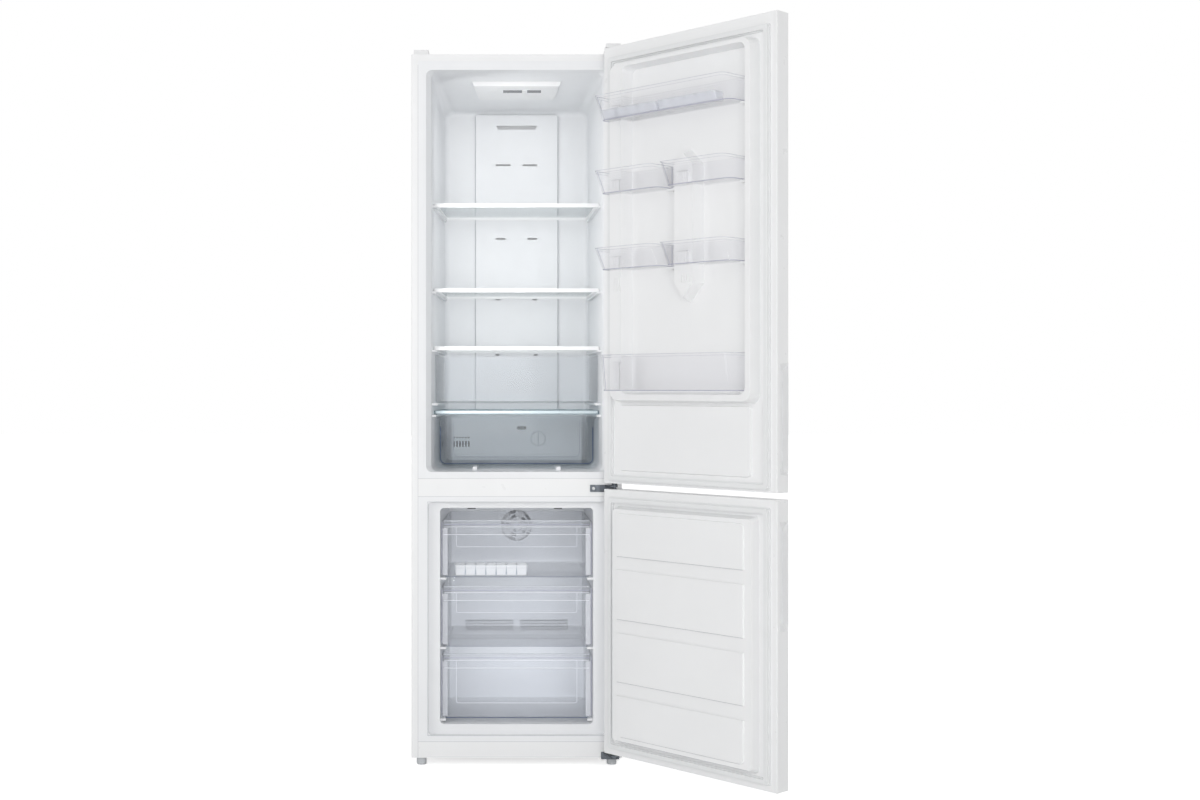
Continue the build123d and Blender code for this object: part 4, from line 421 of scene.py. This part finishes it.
# ---------------------------------------------------------------- crisper
CRISPER_CORNER = 0.016
CRISPER_LINE_SIDE = 0.0112
CRISPER_LINE_LIFT = 0.006
CRISPER_LINE_DROP = 0.026
CRISPER_LINE_DEPTH = 0.0068
CRISPER_LINE_RADIUS = 0.0014
CRISPER_REAR_SIDE = 0.026
CRISPER_REAR_LIFT = 0.006
CRISPER_REAR_RISE = 0.012
CRISPER_REAR_DEPTH = 0.004
CRISPER_REAR_RADIUS = 0.0006
COVER_BAR_SIDE = 0.0036
COVER_BAR_DEPTHS = (0.0001, 0.0016)
COVER_BAR_DROPS = (0.0085, 0.0004)
COVER_BAR_BEVEL = 0.0006


def make_crisper_lines():
    """Painted shade: a dark line along the crisper drawer's thick clear front corner and a fine one
    along its rear corner.
    """
    body = "crisper_drawer"
    low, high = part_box("crisper_drawer")
    half = high.x - CRISPER_LINE_SIDE
    bottom = low.z + CRISPER_LINE_LIFT
    top = high.z - CRISPER_LINE_DROP
    front = u_path(half, bottom, top, low.y + CRISPER_LINE_DEPTH, CRISPER_CORNER)
    round_line("crisper_front_line", front, CRISPER_LINE_RADIUS, NAVY_EDGE_SHADE, body)
    rear = u_path(
        half - CRISPER_REAR_SIDE,
        bottom + CRISPER_REAR_LIFT,
        top + CRISPER_REAR_RISE,
        high.y - CRISPER_REAR_DEPTH,
        CRISPER_CORNER,
    )
    round_line("crisper_rear_line", rear, CRISPER_REAR_RADIUS, LILAC_EDGE_SHADE, body)


def make_cover_bar():
    """White bar along the front edge of the crisper's cover."""
    low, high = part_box("crisper_cover")
    reach = high.x - COVER_BAR_SIDE
    near = (-reach, low.y + COVER_BAR_DEPTHS[0], high.z - COVER_BAR_DROPS[0])
    far = (reach, low.y + COVER_BAR_DEPTHS[1], high.z - COVER_BAR_DROPS[1])
    bevelled_box(
        "crisper_cover_bar",
        near,
        far,
        COVER_BAR_BEVEL,
        WHITE_PLASTIC,
        "crisper_cover",
    )


# ---------------------------------------------------------------- freezer drawers
# radius of the painted shadow line under each drawer's front, and how far its painted highlight
# loop reaches below its top
DRAWER_LEVELS = {"top": (0.0006, 0.076), "middle": (0.0006, 0.076), "bottom": (0.0011, 0.141)}
DRAWER_UNDER_SIDE = 0.012
DRAWER_UNDER_DEPTH = 0.0105
DRAWER_LIP_REACH = 0.0084
DRAWER_RIDGES = (0.0018, 0.0192, 0.0412)
DRAWER_RIDGE_SIDE = 0.007
DRAWER_RIDGE_RADIUS = 0.0009
DRAWER_LOOP_SIDE = 0.042
DRAWER_LOOP_TOP = 0.020
DRAWER_LOOP_DEPTH = 0.0008
DRAWER_LOOP_CORNER = 0.006
DRAWER_LOOP_STEPS = 4
DRAWER_LOOP_RADIUS = 0.0006
DRAWER_SHADE_DROP = 0.0125
DRAWER_SHADE_DEPTH = 0.001
DRAWER_SHADE_RADIUS = 0.0010
DRAWER_EDGE_SIDE = 0.0006
DRAWER_EDGE_DEPTH = 0.0018
DRAWER_EDGE_END = 0.008
DRAWER_EDGE_RADIUS = 0.0009
DRAWER_BORDER_SIDES = (0.017, 0.003)
DRAWER_BORDER_DEPTHS = (0.0006, 0.0015)
DRAWER_BORDER_ENDS = (0.006, 0.022)
DRAWER_BORDER_BEVEL = 0.0003


def level_points(reach, depth, height):
    """Ends of a level line that reaches equally far to both sides."""
    return [(-reach, depth, height), (reach, depth, height)]


def make_drawer_lines():
    """Painted lines on each freezer drawer's front: a painted shadow under it, painted highlights
    along its ridges and its loop, and a painted shade under its lip.
    """
    for level, (under_radius, loop_drop) in DRAWER_LEVELS.items():
        name = f"freezer_drawer_{level}"
        low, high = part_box(name)
        front = low.y + DRAWER_LIP_REACH
        reach = high.x - DRAWER_RIDGE_SIDE
        under = level_points(
            high.x - DRAWER_UNDER_SIDE, low.y + DRAWER_UNDER_DEPTH, low.z + under_radius
        )
        loop = u_path(
            high.x - DRAWER_LOOP_SIDE,
            high.z - loop_drop,
            high.z - DRAWER_LOOP_TOP,
            front + DRAWER_LOOP_DEPTH,
            DRAWER_LOOP_CORNER,
            DRAWER_LOOP_STEPS,
        )
        shade = level_points(reach, front + DRAWER_SHADE_DEPTH, high.z - DRAWER_SHADE_DROP)
        lines = [
            ("under_line", under, under_radius, NAVY_EDGE_SHADE),
            ("loop_line", loop, DRAWER_LOOP_RADIUS, BRIGHT_EDGE_HIGHLIGHT),
            ("lip_shade", shade, DRAWER_SHADE_RADIUS, LILAC_EDGE_SHADE),
        ]
        for number, drop in enumerate(DRAWER_RIDGES):
            ridge = level_points(reach, front, high.z - drop)
            lines.append((f"ridge_{number + 1}", ridge, DRAWER_RIDGE_RADIUS, BRIGHT_EDGE_HIGHLIGHT))
        for label, points, radius, material in lines:
            round_line(f"{name}_{label}", points, radius, material, name)


def make_drawer_borders():
    """Painted shade line and a frosted border up each side of each freezer drawer's front."""
    for level in DRAWER_LEVELS:
        name = f"freezer_drawer_{level}"
        low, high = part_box(name)
        front = low.y + DRAWER_LIP_REACH
        for side, sign in (("left", -1), ("right", 1)):
            edge = sign * (high.x - DRAWER_EDGE_SIDE)
            depth = front + DRAWER_EDGE_DEPTH
            points = [
                (edge, depth, low.z + DRAWER_EDGE_END),
                (edge, depth, high.z - DRAWER_EDGE_END),
            ]
            label = f"{name}_{side}_edge"
            round_line(label, points, DRAWER_EDGE_RADIUS, LILAC_EDGE_SHADE, name)
            left, right = sorted(sign * (high.x - inset) for inset in DRAWER_BORDER_SIDES)
            near = (left, front + DRAWER_BORDER_DEPTHS[0], low.z + DRAWER_BORDER_ENDS[0])
            far = (right, front + DRAWER_BORDER_DEPTHS[1], high.z - DRAWER_BORDER_ENDS[1])
            label = f"{name}_{side}_border"
            bevelled_box(
                label, near, far, DRAWER_BORDER_BEVEL, BORDER_PLASTIC, name
            )


# ---------------------------------------------------------------- doors and their bins
DOOR_OPEN = math.radians(133.7)
HINGE_AXIS = (0.2743, -0.0360)
HINGE_FROM_EDGE = 0.0170
HINGE_FROM_INNER_FACE = 0.0250
BIN_OVER_DYKE = 0.041
BIN_BACK = 0.005
BIN_FRONT_RADIUS = (0.014, 0.022)
# bins in metres: left, right, bottom, top, front at the floor, front at the rim
BINS = {
    "door_bin_top": (0.057, 0.503, 1.798, 1.862, 0.074, 0.105),
    "door_bin_upper_left": (0.057, 0.260, 1.598, 1.658, 0.074, 0.105),
    "door_bin_upper_right": (0.290, 0.503, 1.598, 1.658, 0.074, 0.105),
    "door_bin_lower_left": (0.057, 0.260, 1.390, 1.448, 0.074, 0.105),
    "door_bin_lower_right": (0.290, 0.503, 1.390, 1.448, 0.074, 0.105),
    "door_bin_bottom": (0.066, 0.503, 1.060, 1.158, 0.080, 0.092),
}
BIN_RIM_RADIUS = 0.0006
BIN_BAND_DROP = 0.0072
BIN_BAND_RADIUS = 0.0004
BIN_FLOOR_SETBACK = 0.0004
BIN_FLOOR_LIFT = 0.0012
BIN_FLOOR_RADIUS = 0.0011
BIN_END_SETBACK = 0.016
BIN_CHANNEL_SIDE = 0.001
BIN_CHANNEL_OUT = 0.012
BIN_CHANNEL_END = 0.002
BIN_CHANNEL_RADIUS = 0.0010


def door_point(along, out, height):
    """Point of an open door: along its width from the hinge edge, out of its inner face, height."""
    width = along - HINGE_FROM_EDGE
    depth = out + HINGE_FROM_INNER_FACE
    x = HINGE_AXIS[0] - math.cos(DOOR_OPEN) * width - math.sin(DOOR_OPEN) * depth
    y = HINGE_AXIS[1] - math.sin(DOOR_OPEN) * width + math.cos(DOOR_OPEN) * depth
    return (x, y, height)


def bin_front_path(left, right, front, height, steps=8):
    """Points along a bin's left end, front and right end at one height, round its corners."""
    near, far = BIN_FRONT_RADIUS
    points = [door_point(left, BIN_OVER_DYKE, height)]
    for step in range(steps + 1):
        angle = math.radians(90 * step / steps)
        out = front - near + near * math.sin(angle)
        points.append(door_point(left + near - near * math.cos(angle), out, height))
    for step in range(steps + 1):
        angle = math.radians(90 * step / steps)
        out = front - far + far * math.cos(angle)
        points.append(door_point(right - far + far * math.sin(angle), out, height))
    points.append(door_point(right, BIN_BACK, height))
    return points


def make_bin_lines():
    """Painted lines on the door bins' edges: painted highlights along the rim and the band under
    it, painted shade along the floor, the end and the channel.
    """
    for name, (left, right, bottom, top, floor_front, rim_front) in BINS.items():
        lean = (rim_front - floor_front) / (top - bottom)
        rim_height = top - BIN_RIM_RADIUS
        band_height = top - BIN_BAND_DROP
        band_front = floor_front + lean * (band_height - bottom)
        floor_height = bottom + BIN_FLOOR_LIFT
        end_along = left + BIN_RIM_RADIUS
        end = [
            door_point(end_along, floor_front - BIN_END_SETBACK, floor_height),
            door_point(end_along, rim_front - BIN_END_SETBACK, rim_height),
        ]
        channel_along = right - BIN_CHANNEL_SIDE
        channel = [
            door_point(channel_along, BIN_CHANNEL_OUT, bottom + BIN_CHANNEL_END),
            door_point(channel_along, BIN_CHANNEL_OUT, top - BIN_CHANNEL_END),
        ]
        rim = bin_front_path(left, right, rim_front, rim_height)
        band = bin_front_path(left, right, band_front, band_height)
        floor = bin_front_path(left, right, floor_front - BIN_FLOOR_SETBACK, floor_height)
        for label, points, radius, material in (
            ("rim", rim, BIN_RIM_RADIUS, PALE_EDGE_HIGHLIGHT),
            ("band", band, BIN_BAND_RADIUS, PALE_EDGE_HIGHLIGHT),
            ("floor", floor, BIN_FLOOR_RADIUS, LILAC_EDGE_SHADE),
            ("end", end, BIN_RIM_RADIUS, LILAC_EDGE_SHADE),
            ("channel", channel, BIN_CHANNEL_RADIUS, LILAC_EDGE_SHADE),
        ):
            round_line(f"{name}_{label}_line", points, radius, material, name)


EGG_CUPS = 5
EGG_CUP_RADIUS = 0.0145
EGG_TRAY_SIDES = {"egg_tray_left": (0.064, 0.258), "egg_tray_right": (0.264, 0.458)}
EGG_TRAY_TOP_Z = 1.8243
EGG_ROW_OUT = 0.0608
EGG_RIM_STEPS = 24
EGG_RIM_RADIUS = 0.0006


def make_egg_rims():
    """Painted highlight round the rim of each egg cup."""
    for name, (left, right) in EGG_TRAY_SIDES.items():
        pitch = (right - left) / EGG_CUPS
        for cup in range(EGG_CUPS):
            middle = left + (cup + 0.5) * pitch
            points = [
                door_point(middle + along, EGG_ROW_OUT + out, EGG_TRAY_TOP_Z)
                for along, out in circle(EGG_CUP_RADIUS, EGG_RIM_STEPS)
            ]
            label = f"{name}_rim_{cup + 1}"
            round_line(label, points, EGG_RIM_RADIUS, BRIGHT_EDGE_HIGHLIGHT, name)


# the freezer door's grooves in metres: bottom and top
GROOVES = ((0.568, 0.605), (0.394, 0.432), (0.222, 0.260))
GROOVE_SIDES = (0.074, 0.506)
GROOVE_SHADE_RADIUS = 0.0007
GROOVE_LIGHT_RADIUS = 0.0009
PLUG_CROWN = 0.0279
# shadows under the raised field and under the plug: height, left, right, out of the inner face
FIELD_SHADES = ((0.1095, 0.086, 0.494, 0.0246), (0.0965, 0.066, 0.520, 0.0234))
FIELD_SHADE_RADIUS = 0.0009


def make_lower_door_lines():
    """Shade and light along the freezer door's grooves, and the shades under its raised field."""
    left, right = GROOVE_SIDES
    for number, (bottom, top) in enumerate(GROOVES):
        for label, height, radius, material in (
            ("groove_shade", top, GROOVE_SHADE_RADIUS, PALE_SEAM_SHADE),
            ("groove_light", bottom, GROOVE_LIGHT_RADIUS, WHITE_PLASTIC),
        ):
            points = [door_point(along, PLUG_CROWN, height) for along in (left, right)]
            name = f"{label}_{number + 1}"
            round_line(name, points, radius, material, "lower_door")
    for number, (height, left, right, out) in enumerate(FIELD_SHADES):
        points = [door_point(along, out, height) for along in (left, right)]
        name = f"field_shade_{number + 1}"
        round_line(name, points, FIELD_SHADE_RADIUS, PALE_SEAM_SHADE, "lower_door")


# ---------------------------------------------------------------- air duct and control panel
KNOB_CENTRE = (0.0674, 0.910)
KNOB_RING_RADIUS = 0.0231
KNOB_RING_STEPS = 48
KNOB_RING_Y = 0.4385
KNOB_GRIP_Y = 0.4254
KNOB_GRIP_HALF = 0.019
KNOB_LINE_RADIUS = 0.0008


def make_knob_lines():
    """Shade line round the air-flow knob and along its grip."""
    middle_x, middle_z = KNOB_CENTRE
    ring = [
        (middle_x + x, KNOB_RING_Y, middle_z + z)
        for x, z in circle(KNOB_RING_RADIUS, KNOB_RING_STEPS)
    ]
    grip = [(middle_x, KNOB_GRIP_Y, middle_z + end * KNOB_GRIP_HALF) for end in (-1, 1)]
    for name, points in (("knob_ring", ring), ("knob_grip_line", grip)):
        round_line(
            name, points, KNOB_LINE_RADIUS, SHADOW_GREY, "airflow_knob"
        )


GRILLE_LEFT = -0.195
GRILLE_PITCH = 0.0092
GRILLE_COLUMNS = 6
GRILLE_HALF = 0.0022
# heights above the knob's middle
GRILLE_DOT_Z = (0.0009, 0.0053)
GRILLE_SLOT_Z = (-0.0258, -0.0080)
AIR_SLOT_X = (0.0008, 0.0298)
AIR_SLOT_Z = (0.0282, 0.0388)
BLOCK_FRONT = 0.440
OPENING_SHADE_DEPTHS = (0.0002, 0.0012)
OPENING_SHADE_BEVEL = 0.0002


def make_grille_shades():
    """Painted shade: dark blocks inside the air block's grille and long slot, standing for the
    shade in them, seen through the crisper drawer.
    """
    low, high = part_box("airflow_knob")
    knob = (low.z + high.z) / 2
    openings = [("air_slot_shade", AIR_SLOT_X, AIR_SLOT_Z)]
    for column in range(GRILLE_COLUMNS):
        middle = GRILLE_LEFT + column * GRILLE_PITCH
        sides = (middle - GRILLE_HALF, middle + GRILLE_HALF)
        openings.append((f"grille_dot_{column + 1}", sides, GRILLE_DOT_Z))
        openings.append((f"grille_slot_{column + 1}", sides, GRILLE_SLOT_Z))
    for name, sides, heights in openings:
        near, far = (
            (x, BLOCK_FRONT + depth, knob + height)
            for x, depth, height in zip(sides, OPENING_SHADE_DEPTHS, heights)
        )
        bevelled_box(
            name, near, far, OPENING_SHADE_BEVEL, BLACK_PLASTIC, "cabinet"
        )


DUCT_SEAM_HALF = 0.1303
DUCT_SEAM_CORNER = 0.008
DUCT_SEAM_STEPS = 6
DUCT_SEAM_FOOT = 0.16
DUCT_SEAM_RISE = 0.0006
DUCT_SEAM_DEPTH = 0.0002
DUCT_SEAM_RADIUS = 0.0008


def make_duct_seam():
    """Painted shadow along the narrow seam where the duct cover meets the liner's back wall."""
    low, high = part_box("duct_cover")
    wall = high.y - DUCT_SEAM_DEPTH
    foot = low.z + DUCT_SEAM_FOOT
    centre = high.z + DUCT_SEAM_RISE - DUCT_SEAM_CORNER
    points = [(-DUCT_SEAM_HALF, wall, foot)]
    for side, start in ((-1, 180), (1, 90)):
        for step in range(DUCT_SEAM_STEPS + 1):
            angle = math.radians(start - 90 * step / DUCT_SEAM_STEPS)
            x = side * (DUCT_SEAM_HALF - DUCT_SEAM_CORNER) + DUCT_SEAM_CORNER * math.cos(angle)
            points.append((x, wall, centre + DUCT_SEAM_CORNER * math.sin(angle)))
    points.append((DUCT_SEAM_HALF, wall, foot))
    round_line("duct_seam_shadow", points, DUCT_SEAM_RADIUS, GREY_SEAM_SHADE, "cabinet")


DIVIDER_LOW = (0.016, 0.1672, 1.9396)
DIVIDER_HIGH = (0.031, 0.1995, 1.9440)
DIVIDER_BEVEL = 0.0003


def make_window_divider():
    """White bar that parts the control panel's dark window into two fields."""
    bevelled_box(
        "window_divider",
        DIVIDER_LOW,
        DIVIDER_HIGH,
        DIVIDER_BEVEL,
        WHITE_PLASTIC,
        "cabinet",
    )


# ---------------------------------------------------------------- ice tray
ICE_CELLS = 7
ICE_SIDE_WALL = 0.001
ICE_RIM_DROP = 0.008
ICE_DRAFT = math.tan(math.radians(5))
ICE_GAP_LIFT = 0.001
ICE_GAP_DROP = 0.0008
ICE_GAP_REACHES = (0.0024, 0.0008, 0.0004)
ICE_GAP_DEPTHS = (-0.0003, 0.0006)
ICE_RIM_END = 0.003
ICE_RIM_RADIUS = 0.0005


def make_ice_gap_shades():
    """Painted shade: dark tapered wedges where the gaps between the cells on the ice tray's front
    lie in shade.
    """
    low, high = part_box("ice_tray")
    cell = (high.x - low.x - 2 * ICE_SIDE_WALL) / ICE_CELLS
    heights = (low.z + ICE_GAP_LIFT, high.z - ICE_RIM_DROP, high.z - ICE_GAP_DROP)
    for gap in range(1, ICE_CELLS):
        middle = low.x + ICE_SIDE_WALL + gap * cell
        mesh = bpy.data.meshes.new(f"ice_gap_{gap}")
        shape = bmesh.new()
        corners = []
        for reach, height in zip(ICE_GAP_REACHES, heights):
            front = low.y + (high.z - height) * ICE_DRAFT
            for side in (-1, 1):
                for depth in ICE_GAP_DEPTHS:
                    place = (middle + side * reach, front + depth, height)
                    corners.append(shape.verts.new(place))
        for base in (0, 4):
            ring = corners[base : base + 8]
            for face in ((0, 2, 6, 4), (1, 5, 7, 3), (0, 4, 5, 1), (2, 3, 7, 6)):
                shape.faces.new([ring[i] for i in face])
        shape.faces.new([corners[i] for i in (0, 1, 3, 2)])
        shape.faces.new([corners[i] for i in (8, 10, 11, 9)])
        bmesh.ops.recalc_face_normals(shape, faces=shape.faces)
        shape.to_mesh(mesh)
        shape.free()
        add_piece(f"ice_gap_{gap}", mesh, SHADOW_GREY, "ice_tray")


def make_ice_rim_line():
    """Shadow under the rim on the ice tray's front."""
    low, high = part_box("ice_tray")
    front = low.y + ICE_RIM_DROP * ICE_DRAFT
    rim = high.z - ICE_RIM_DROP
    points = [(low.x + ICE_RIM_END, front, rim), (high.x - ICE_RIM_END, front, rim)]
    round_line("ice_rim_line", points, ICE_RIM_RADIUS, PALE_SEAM_SHADE, "ice_tray")


# ---------------------------------------------------------------- cabinet front
SEAM_HALF = 0.0005
SEAM_PROUD = 0.00012
SEAM_DEPTH = 0.0004
SEAM_BEVEL = 0.00004
FLANGE_SEAM_X = 0.2786
FLANGE_SEAM_ENDS = (0.002, 0.030)
# painted shade lines of the seams across the front: both edges of the mullion cover, top of the
# base rail
LEVEL_SEAMS = (0.8121, 0.7609, 0.0686)
FREEZER_FRAME_HALF = 0.2509
FREEZER_FRAME_Z = (0.0856, 0.7456)


def seam_strip(name, start, end, material):
    """Flat hairline of painted shade on the cabinet's front plane between two points given as x and
    z.
    """
    low = (min(start[0], end[0]) - SEAM_HALF, -SEAM_PROUD, min(start[1], end[1]) - SEAM_HALF)
    high = (max(start[0], end[0]) + SEAM_HALF, SEAM_DEPTH, max(start[1], end[1]) + SEAM_HALF)
    bevelled_box(name, low, high, SEAM_BEVEL, material, "cabinet")


def make_cabinet_seams():
    """Painted shade along the seams of the cabinet's front: folded flanges, mullion cover, base
    rail and freezer frame.
    """
    low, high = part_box("side_panel_left")
    foot, head = low.z + FLANGE_SEAM_ENDS[0], high.z - FLANGE_SEAM_ENDS[1]
    for side, x in (("left", -FLANGE_SEAM_X), ("right", FLANGE_SEAM_X)):
        seam_strip(f"flange_seam_{side}", (x, foot), (x, head), PALE_SEAM_SHADE)
    for number, height in enumerate(LEVEL_SEAMS):
        start, end = (-FLANGE_SEAM_X, height), (FLANGE_SEAM_X, height)
        seam_strip(f"level_seam_{number + 1}", start, end, PALE_SEAM_SHADE)
    bottom, top = FREEZER_FRAME_Z
    half = FREEZER_FRAME_HALF
    corners = ((-half, bottom), (-half, top), (half, top), (half, bottom))
    for number, start in enumerate(corners):
        end = corners[(number + 1) % len(corners)]
        seam_strip(f"freezer_frame_seam_{number + 1}", start, end, GREY_SEAM_SHADE)


FREEZER_CEILING_Z = 0.727
CLIP_MIDDLES = {"left": -0.128, "right": 0.1177}
CLIP_HALF = 0.0115
CLIP_DEPTHS = (0.026, 0.034)
CLIP_DROPS = (0.0032, 0.0004)
CLIP_BEVEL = 0.0006


def make_freezer_clips():
    """Two dark clips in the front of the freezer's ceiling."""
    for side, x in CLIP_MIDDLES.items():
        low = (x - CLIP_HALF, CLIP_DEPTHS[0], FREEZER_CEILING_Z - CLIP_DROPS[0])
        high = (x + CLIP_HALF, CLIP_DEPTHS[1], FREEZER_CEILING_Z - CLIP_DROPS[1])
        name = f"freezer_clip_{side}"
        bevelled_box(name, low, high, CLIP_BEVEL, BLACK_PLASTIC, "cabinet")


SCREW_PLACE = (0.2173, -0.0046, 0.784)
SCREW_RADIUS = 0.0046
SCREW_TURNS = 28
# share of the radius and height, from the rim to the bottom of the recess
SCREW_PROFILE = (
    (1.0, 0.0),
    (1.0, 0.0006),
    (0.86, 0.0013),
    (0.55, 0.0017),
    (0.30, 0.0018),
    (0.22, 0.0009),
)
SCREW_TIP_HEIGHT = 0.0007
SCREW_RECESS_SHARE = 0.5
SCREW_LOBE = 0.5


def make_hinge_screw():
    """Pan-head screw with a cross recess on the middle hinge's plate, facing the front."""
    middle_x, face, middle_z = SCREW_PLACE
    mesh = bpy.data.meshes.new("middle_hinge_screw")
    shape = bmesh.new()
    rings = []
    for share, height in SCREW_PROFILE:
        ring = []
        for turn in range(SCREW_TURNS):
            angle = 2 * math.pi * turn / SCREW_TURNS
            reach = SCREW_RADIUS * share
            if share < SCREW_RECESS_SHARE:
                reach *= 1.0 + SCREW_LOBE * math.cos(4 * angle) ** 2
            x = middle_x + reach * math.cos(angle)
            z = middle_z + reach * math.sin(angle)
            ring.append(shape.verts.new((x, face - height, z)))
        rings.append(ring)
    tip = shape.verts.new((middle_x, face - SCREW_TIP_HEIGHT, middle_z))
    for turn in range(SCREW_TURNS):
        after = (turn + 1) % SCREW_TURNS
        for outer, inner in zip(rings, rings[1:]):
            shape.faces.new((outer[turn], outer[after], inner[after], inner[turn]))
        shape.faces.new((rings[-1][turn], rings[-1][after], tip))
    shape.faces.new(list(reversed(rings[0])))
    bmesh.ops.recalc_face_normals(shape, faces=shape.faces)
    shape.to_mesh(mesh)
    shape.free()
    for face in mesh.polygons:
        face.use_smooth = True
    add_piece("middle_hinge_screw", mesh, ZINC, "cabinet")


# ---------------------------------------------------------------- stage and light
FLOOR_HALF = 30.0
FLOOR_GRAIN_SCALE = 2.0
FLOOR_GREYS = (0.93, 0.95)
FLOOR_ROUGHNESS = 0.9
FLOOR_GLOW_SHARE = 0.62
AMBIENT_STRENGTH = 0.55
BACKDROP_STRENGTH = 1.0
WHITE = (1, 1, 1, 1)


def make_stage():
    """Pale floor that keeps the shadow and glows towards the camera and through clear parts."""
    mesh = bpy.data.meshes.new("studio_floor")
    shape = bmesh.new()
    signs = ((-1, -1), (1, -1), (1, 1), (-1, 1))
    shape.faces.new([shape.verts.new((x * FLOOR_HALF, y * FLOOR_HALF, 0)) for x, y in signs])
    shape.to_mesh(mesh)
    shape.free()
    floor = bpy.data.objects.new("studio_floor", mesh)
    bpy.context.scene.collection.objects.link(floor)
    material, tree, output = new_material("studio_floor")
    shader = tree.nodes.new("ShaderNodeBsdfPrincipled")
    tint = grey_ramp(tree, noise(tree, FLOOR_GRAIN_SCALE), *FLOOR_GREYS)
    tree.links.new(tint, shader.inputs["Base Color"])
    shader.inputs["Roughness"].default_value = FLOOR_ROUGHNESS
    glow = tree.nodes.new("ShaderNodeEmission")
    glow.inputs["Color"].default_value = WHITE
    glow.inputs["Strength"].default_value = 1.0
    dark = tree.nodes.new("ShaderNodeEmission")
    dark.inputs["Strength"].default_value = 0.0
    path = tree.nodes.new("ShaderNodeLightPath")
    sight = calculate(
        tree, "MAXIMUM", path.outputs["Is Camera Ray"], path.outputs["Is Transmission Ray"]
    )
    seen = calculate(tree, "MULTIPLY", sight, FLOOR_GLOW_SHARE)
    weak = mix_shaders(tree, seen, dark.outputs["Emission"], glow.outputs["Emission"])
    total = tree.nodes.new("ShaderNodeAddShader")
    tree.links.new(shader.outputs["BSDF"], total.inputs[0])
    tree.links.new(weak, total.inputs[1])
    tree.links.new(total.outputs["Shader"], output.inputs["Surface"])
    floor.data.materials.append(material)


def background(tree, strength):
    """White background shader of the given strength."""
    node = tree.nodes.new("ShaderNodeBackground")
    node.inputs["Color"].default_value = WHITE
    node.inputs["Strength"].default_value = strength
    return node.outputs["Background"]


def make_world():
    """Soft even surround, plain white to the camera, in reflections and through clear parts."""
    world = bpy.data.worlds.new("studio")
    bpy.context.scene.world = world
    world.use_nodes = True
    tree = world.node_tree
    tree.nodes.clear()
    output = tree.nodes.new("ShaderNodeOutputWorld")
    path = tree.nodes.new("ShaderNodeLightPath")
    camera_or_gloss = calculate(
        tree, "MAXIMUM", path.outputs["Is Camera Ray"], path.outputs["Is Glossy Ray"]
    )
    or_through = calculate(tree, "MAXIMUM", camera_or_gloss, path.outputs["Is Transmission Ray"])
    ambient = background(tree, AMBIENT_STRENGTH)
    backdrop = background(tree, BACKDROP_STRENGTH)
    mix = mix_shaders(tree, or_through, ambient, backdrop)
    tree.links.new(mix, output.inputs["Surface"])


def make_area_light(name, place, target, size, power, mirrored=True, lights_walls=True):
    """Soft oblong lamp aimed at a target; reflections or matt surfaces may leave it out."""
    data = bpy.data.lights.new(name, "AREA")
    data.shape = "RECTANGLE"
    data.size, data.size_y = size
    data.energy = power
    lamp = bpy.data.objects.new(name, data)
    bpy.context.scene.collection.objects.link(lamp)
    lamp.location = place
    aim = Vector(target) - Vector(place)
    lamp.rotation_euler = aim.to_track_quat("-Z", "Y").to_euler()
    lamp.visible_glossy = mirrored
    lamp.visible_diffuse = lights_walls


# lamps of the room: place, target, size, power
ROOM_LAMPS = {
    "front_fill": ((0.3, -5.5, 1.6), (0, 0, 1.0), (3.5, 3.0), 75),
    "left_key": ((-3.2, -3.2, 2.6), (0.2, 0, 1.1), (2.0, 2.4), 34),
    "right_fill": ((3.6, -2.4, 2.0), (0.2, 0, 1.0), (2.0, 2.4), 8),
}
LOW_GLOSS = ((0.95, -1.9, 0.03), (0.62, -0.4, 1.6), (0.6, 0.5), 30)
# fills of the compartments: sizes, powers, and places from each liner's middle or mouth
FRIDGE_FILL_SIZE = (0.30, 0.95)
FRIDGE_FILL_POWER = 1.0
FRIDGE_FILL_DEPTH = 0.02
FRIDGE_FILL_LEFT = 0.08
FRIDGE_FILL_AIM = 0.16
FREEZER_FILL_SIZE = (0.36, 0.42)
FREEZER_FILL_POWER = 0.38
FREEZER_FILL_Y = 0.20
FREEZER_FILL_DROP = 0.06
FREEZER_FRONT_SIZE = (0.38, 0.56)
FREEZER_FRONT_POWER = 0.16
FREEZER_FRONT_DEPTH = 0.024


def make_lights():
    """Front fill, left key, right fill, a lamp for gloss only and a fill in each compartment."""
    for name, lamp in ROOM_LAMPS.items():
        make_area_light(name, *lamp)
    low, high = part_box("fridge_liner")
    middle = (low + high) / 2
    mouth = (middle.x - FRIDGE_FILL_LEFT, low.y + FRIDGE_FILL_DEPTH, middle.z)
    target = (middle.x + FRIDGE_FILL_AIM, high.y, middle.z)
    make_area_light("fridge_fill", mouth, target, FRIDGE_FILL_SIZE, FRIDGE_FILL_POWER)
    low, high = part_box("freezer_liner")
    middle = (low + high) / 2
    height = middle.z - FREEZER_FILL_DROP
    inside, target = (middle.x, FREEZER_FILL_Y, height), (middle.x, high.y, height)
    make_area_light(
        "freezer_fill", inside, target, FREEZER_FILL_SIZE, FREEZER_FILL_POWER, mirrored=False
    )
    mouth = (middle.x, low.y + FREEZER_FRONT_DEPTH, middle.z)
    target = (middle.x, high.y, middle.z)
    make_area_light(
        "freezer_front_fill",
        mouth,
        target,
        FREEZER_FRONT_SIZE,
        FREEZER_FRONT_POWER,
        mirrored=False,
    )
    make_area_light("low_gloss", *LOW_GLOSS, lights_walls=False)


bpy.context.scene.view_settings.view_transform = "Standard"
dress_cad_nodes()
make_crisper_lines()
make_cover_bar()
make_drawer_lines()
make_drawer_borders()
make_bin_lines()
make_egg_rims()
make_knob_lines()
make_window_divider()
make_grille_shades()
make_ice_gap_shades()
make_ice_rim_line()
make_cabinet_seams()
make_lower_door_lines()
make_duct_seam()
make_freezer_clips()
make_hinge_screw()
make_stage()
make_world()
make_lights()
make_camera()
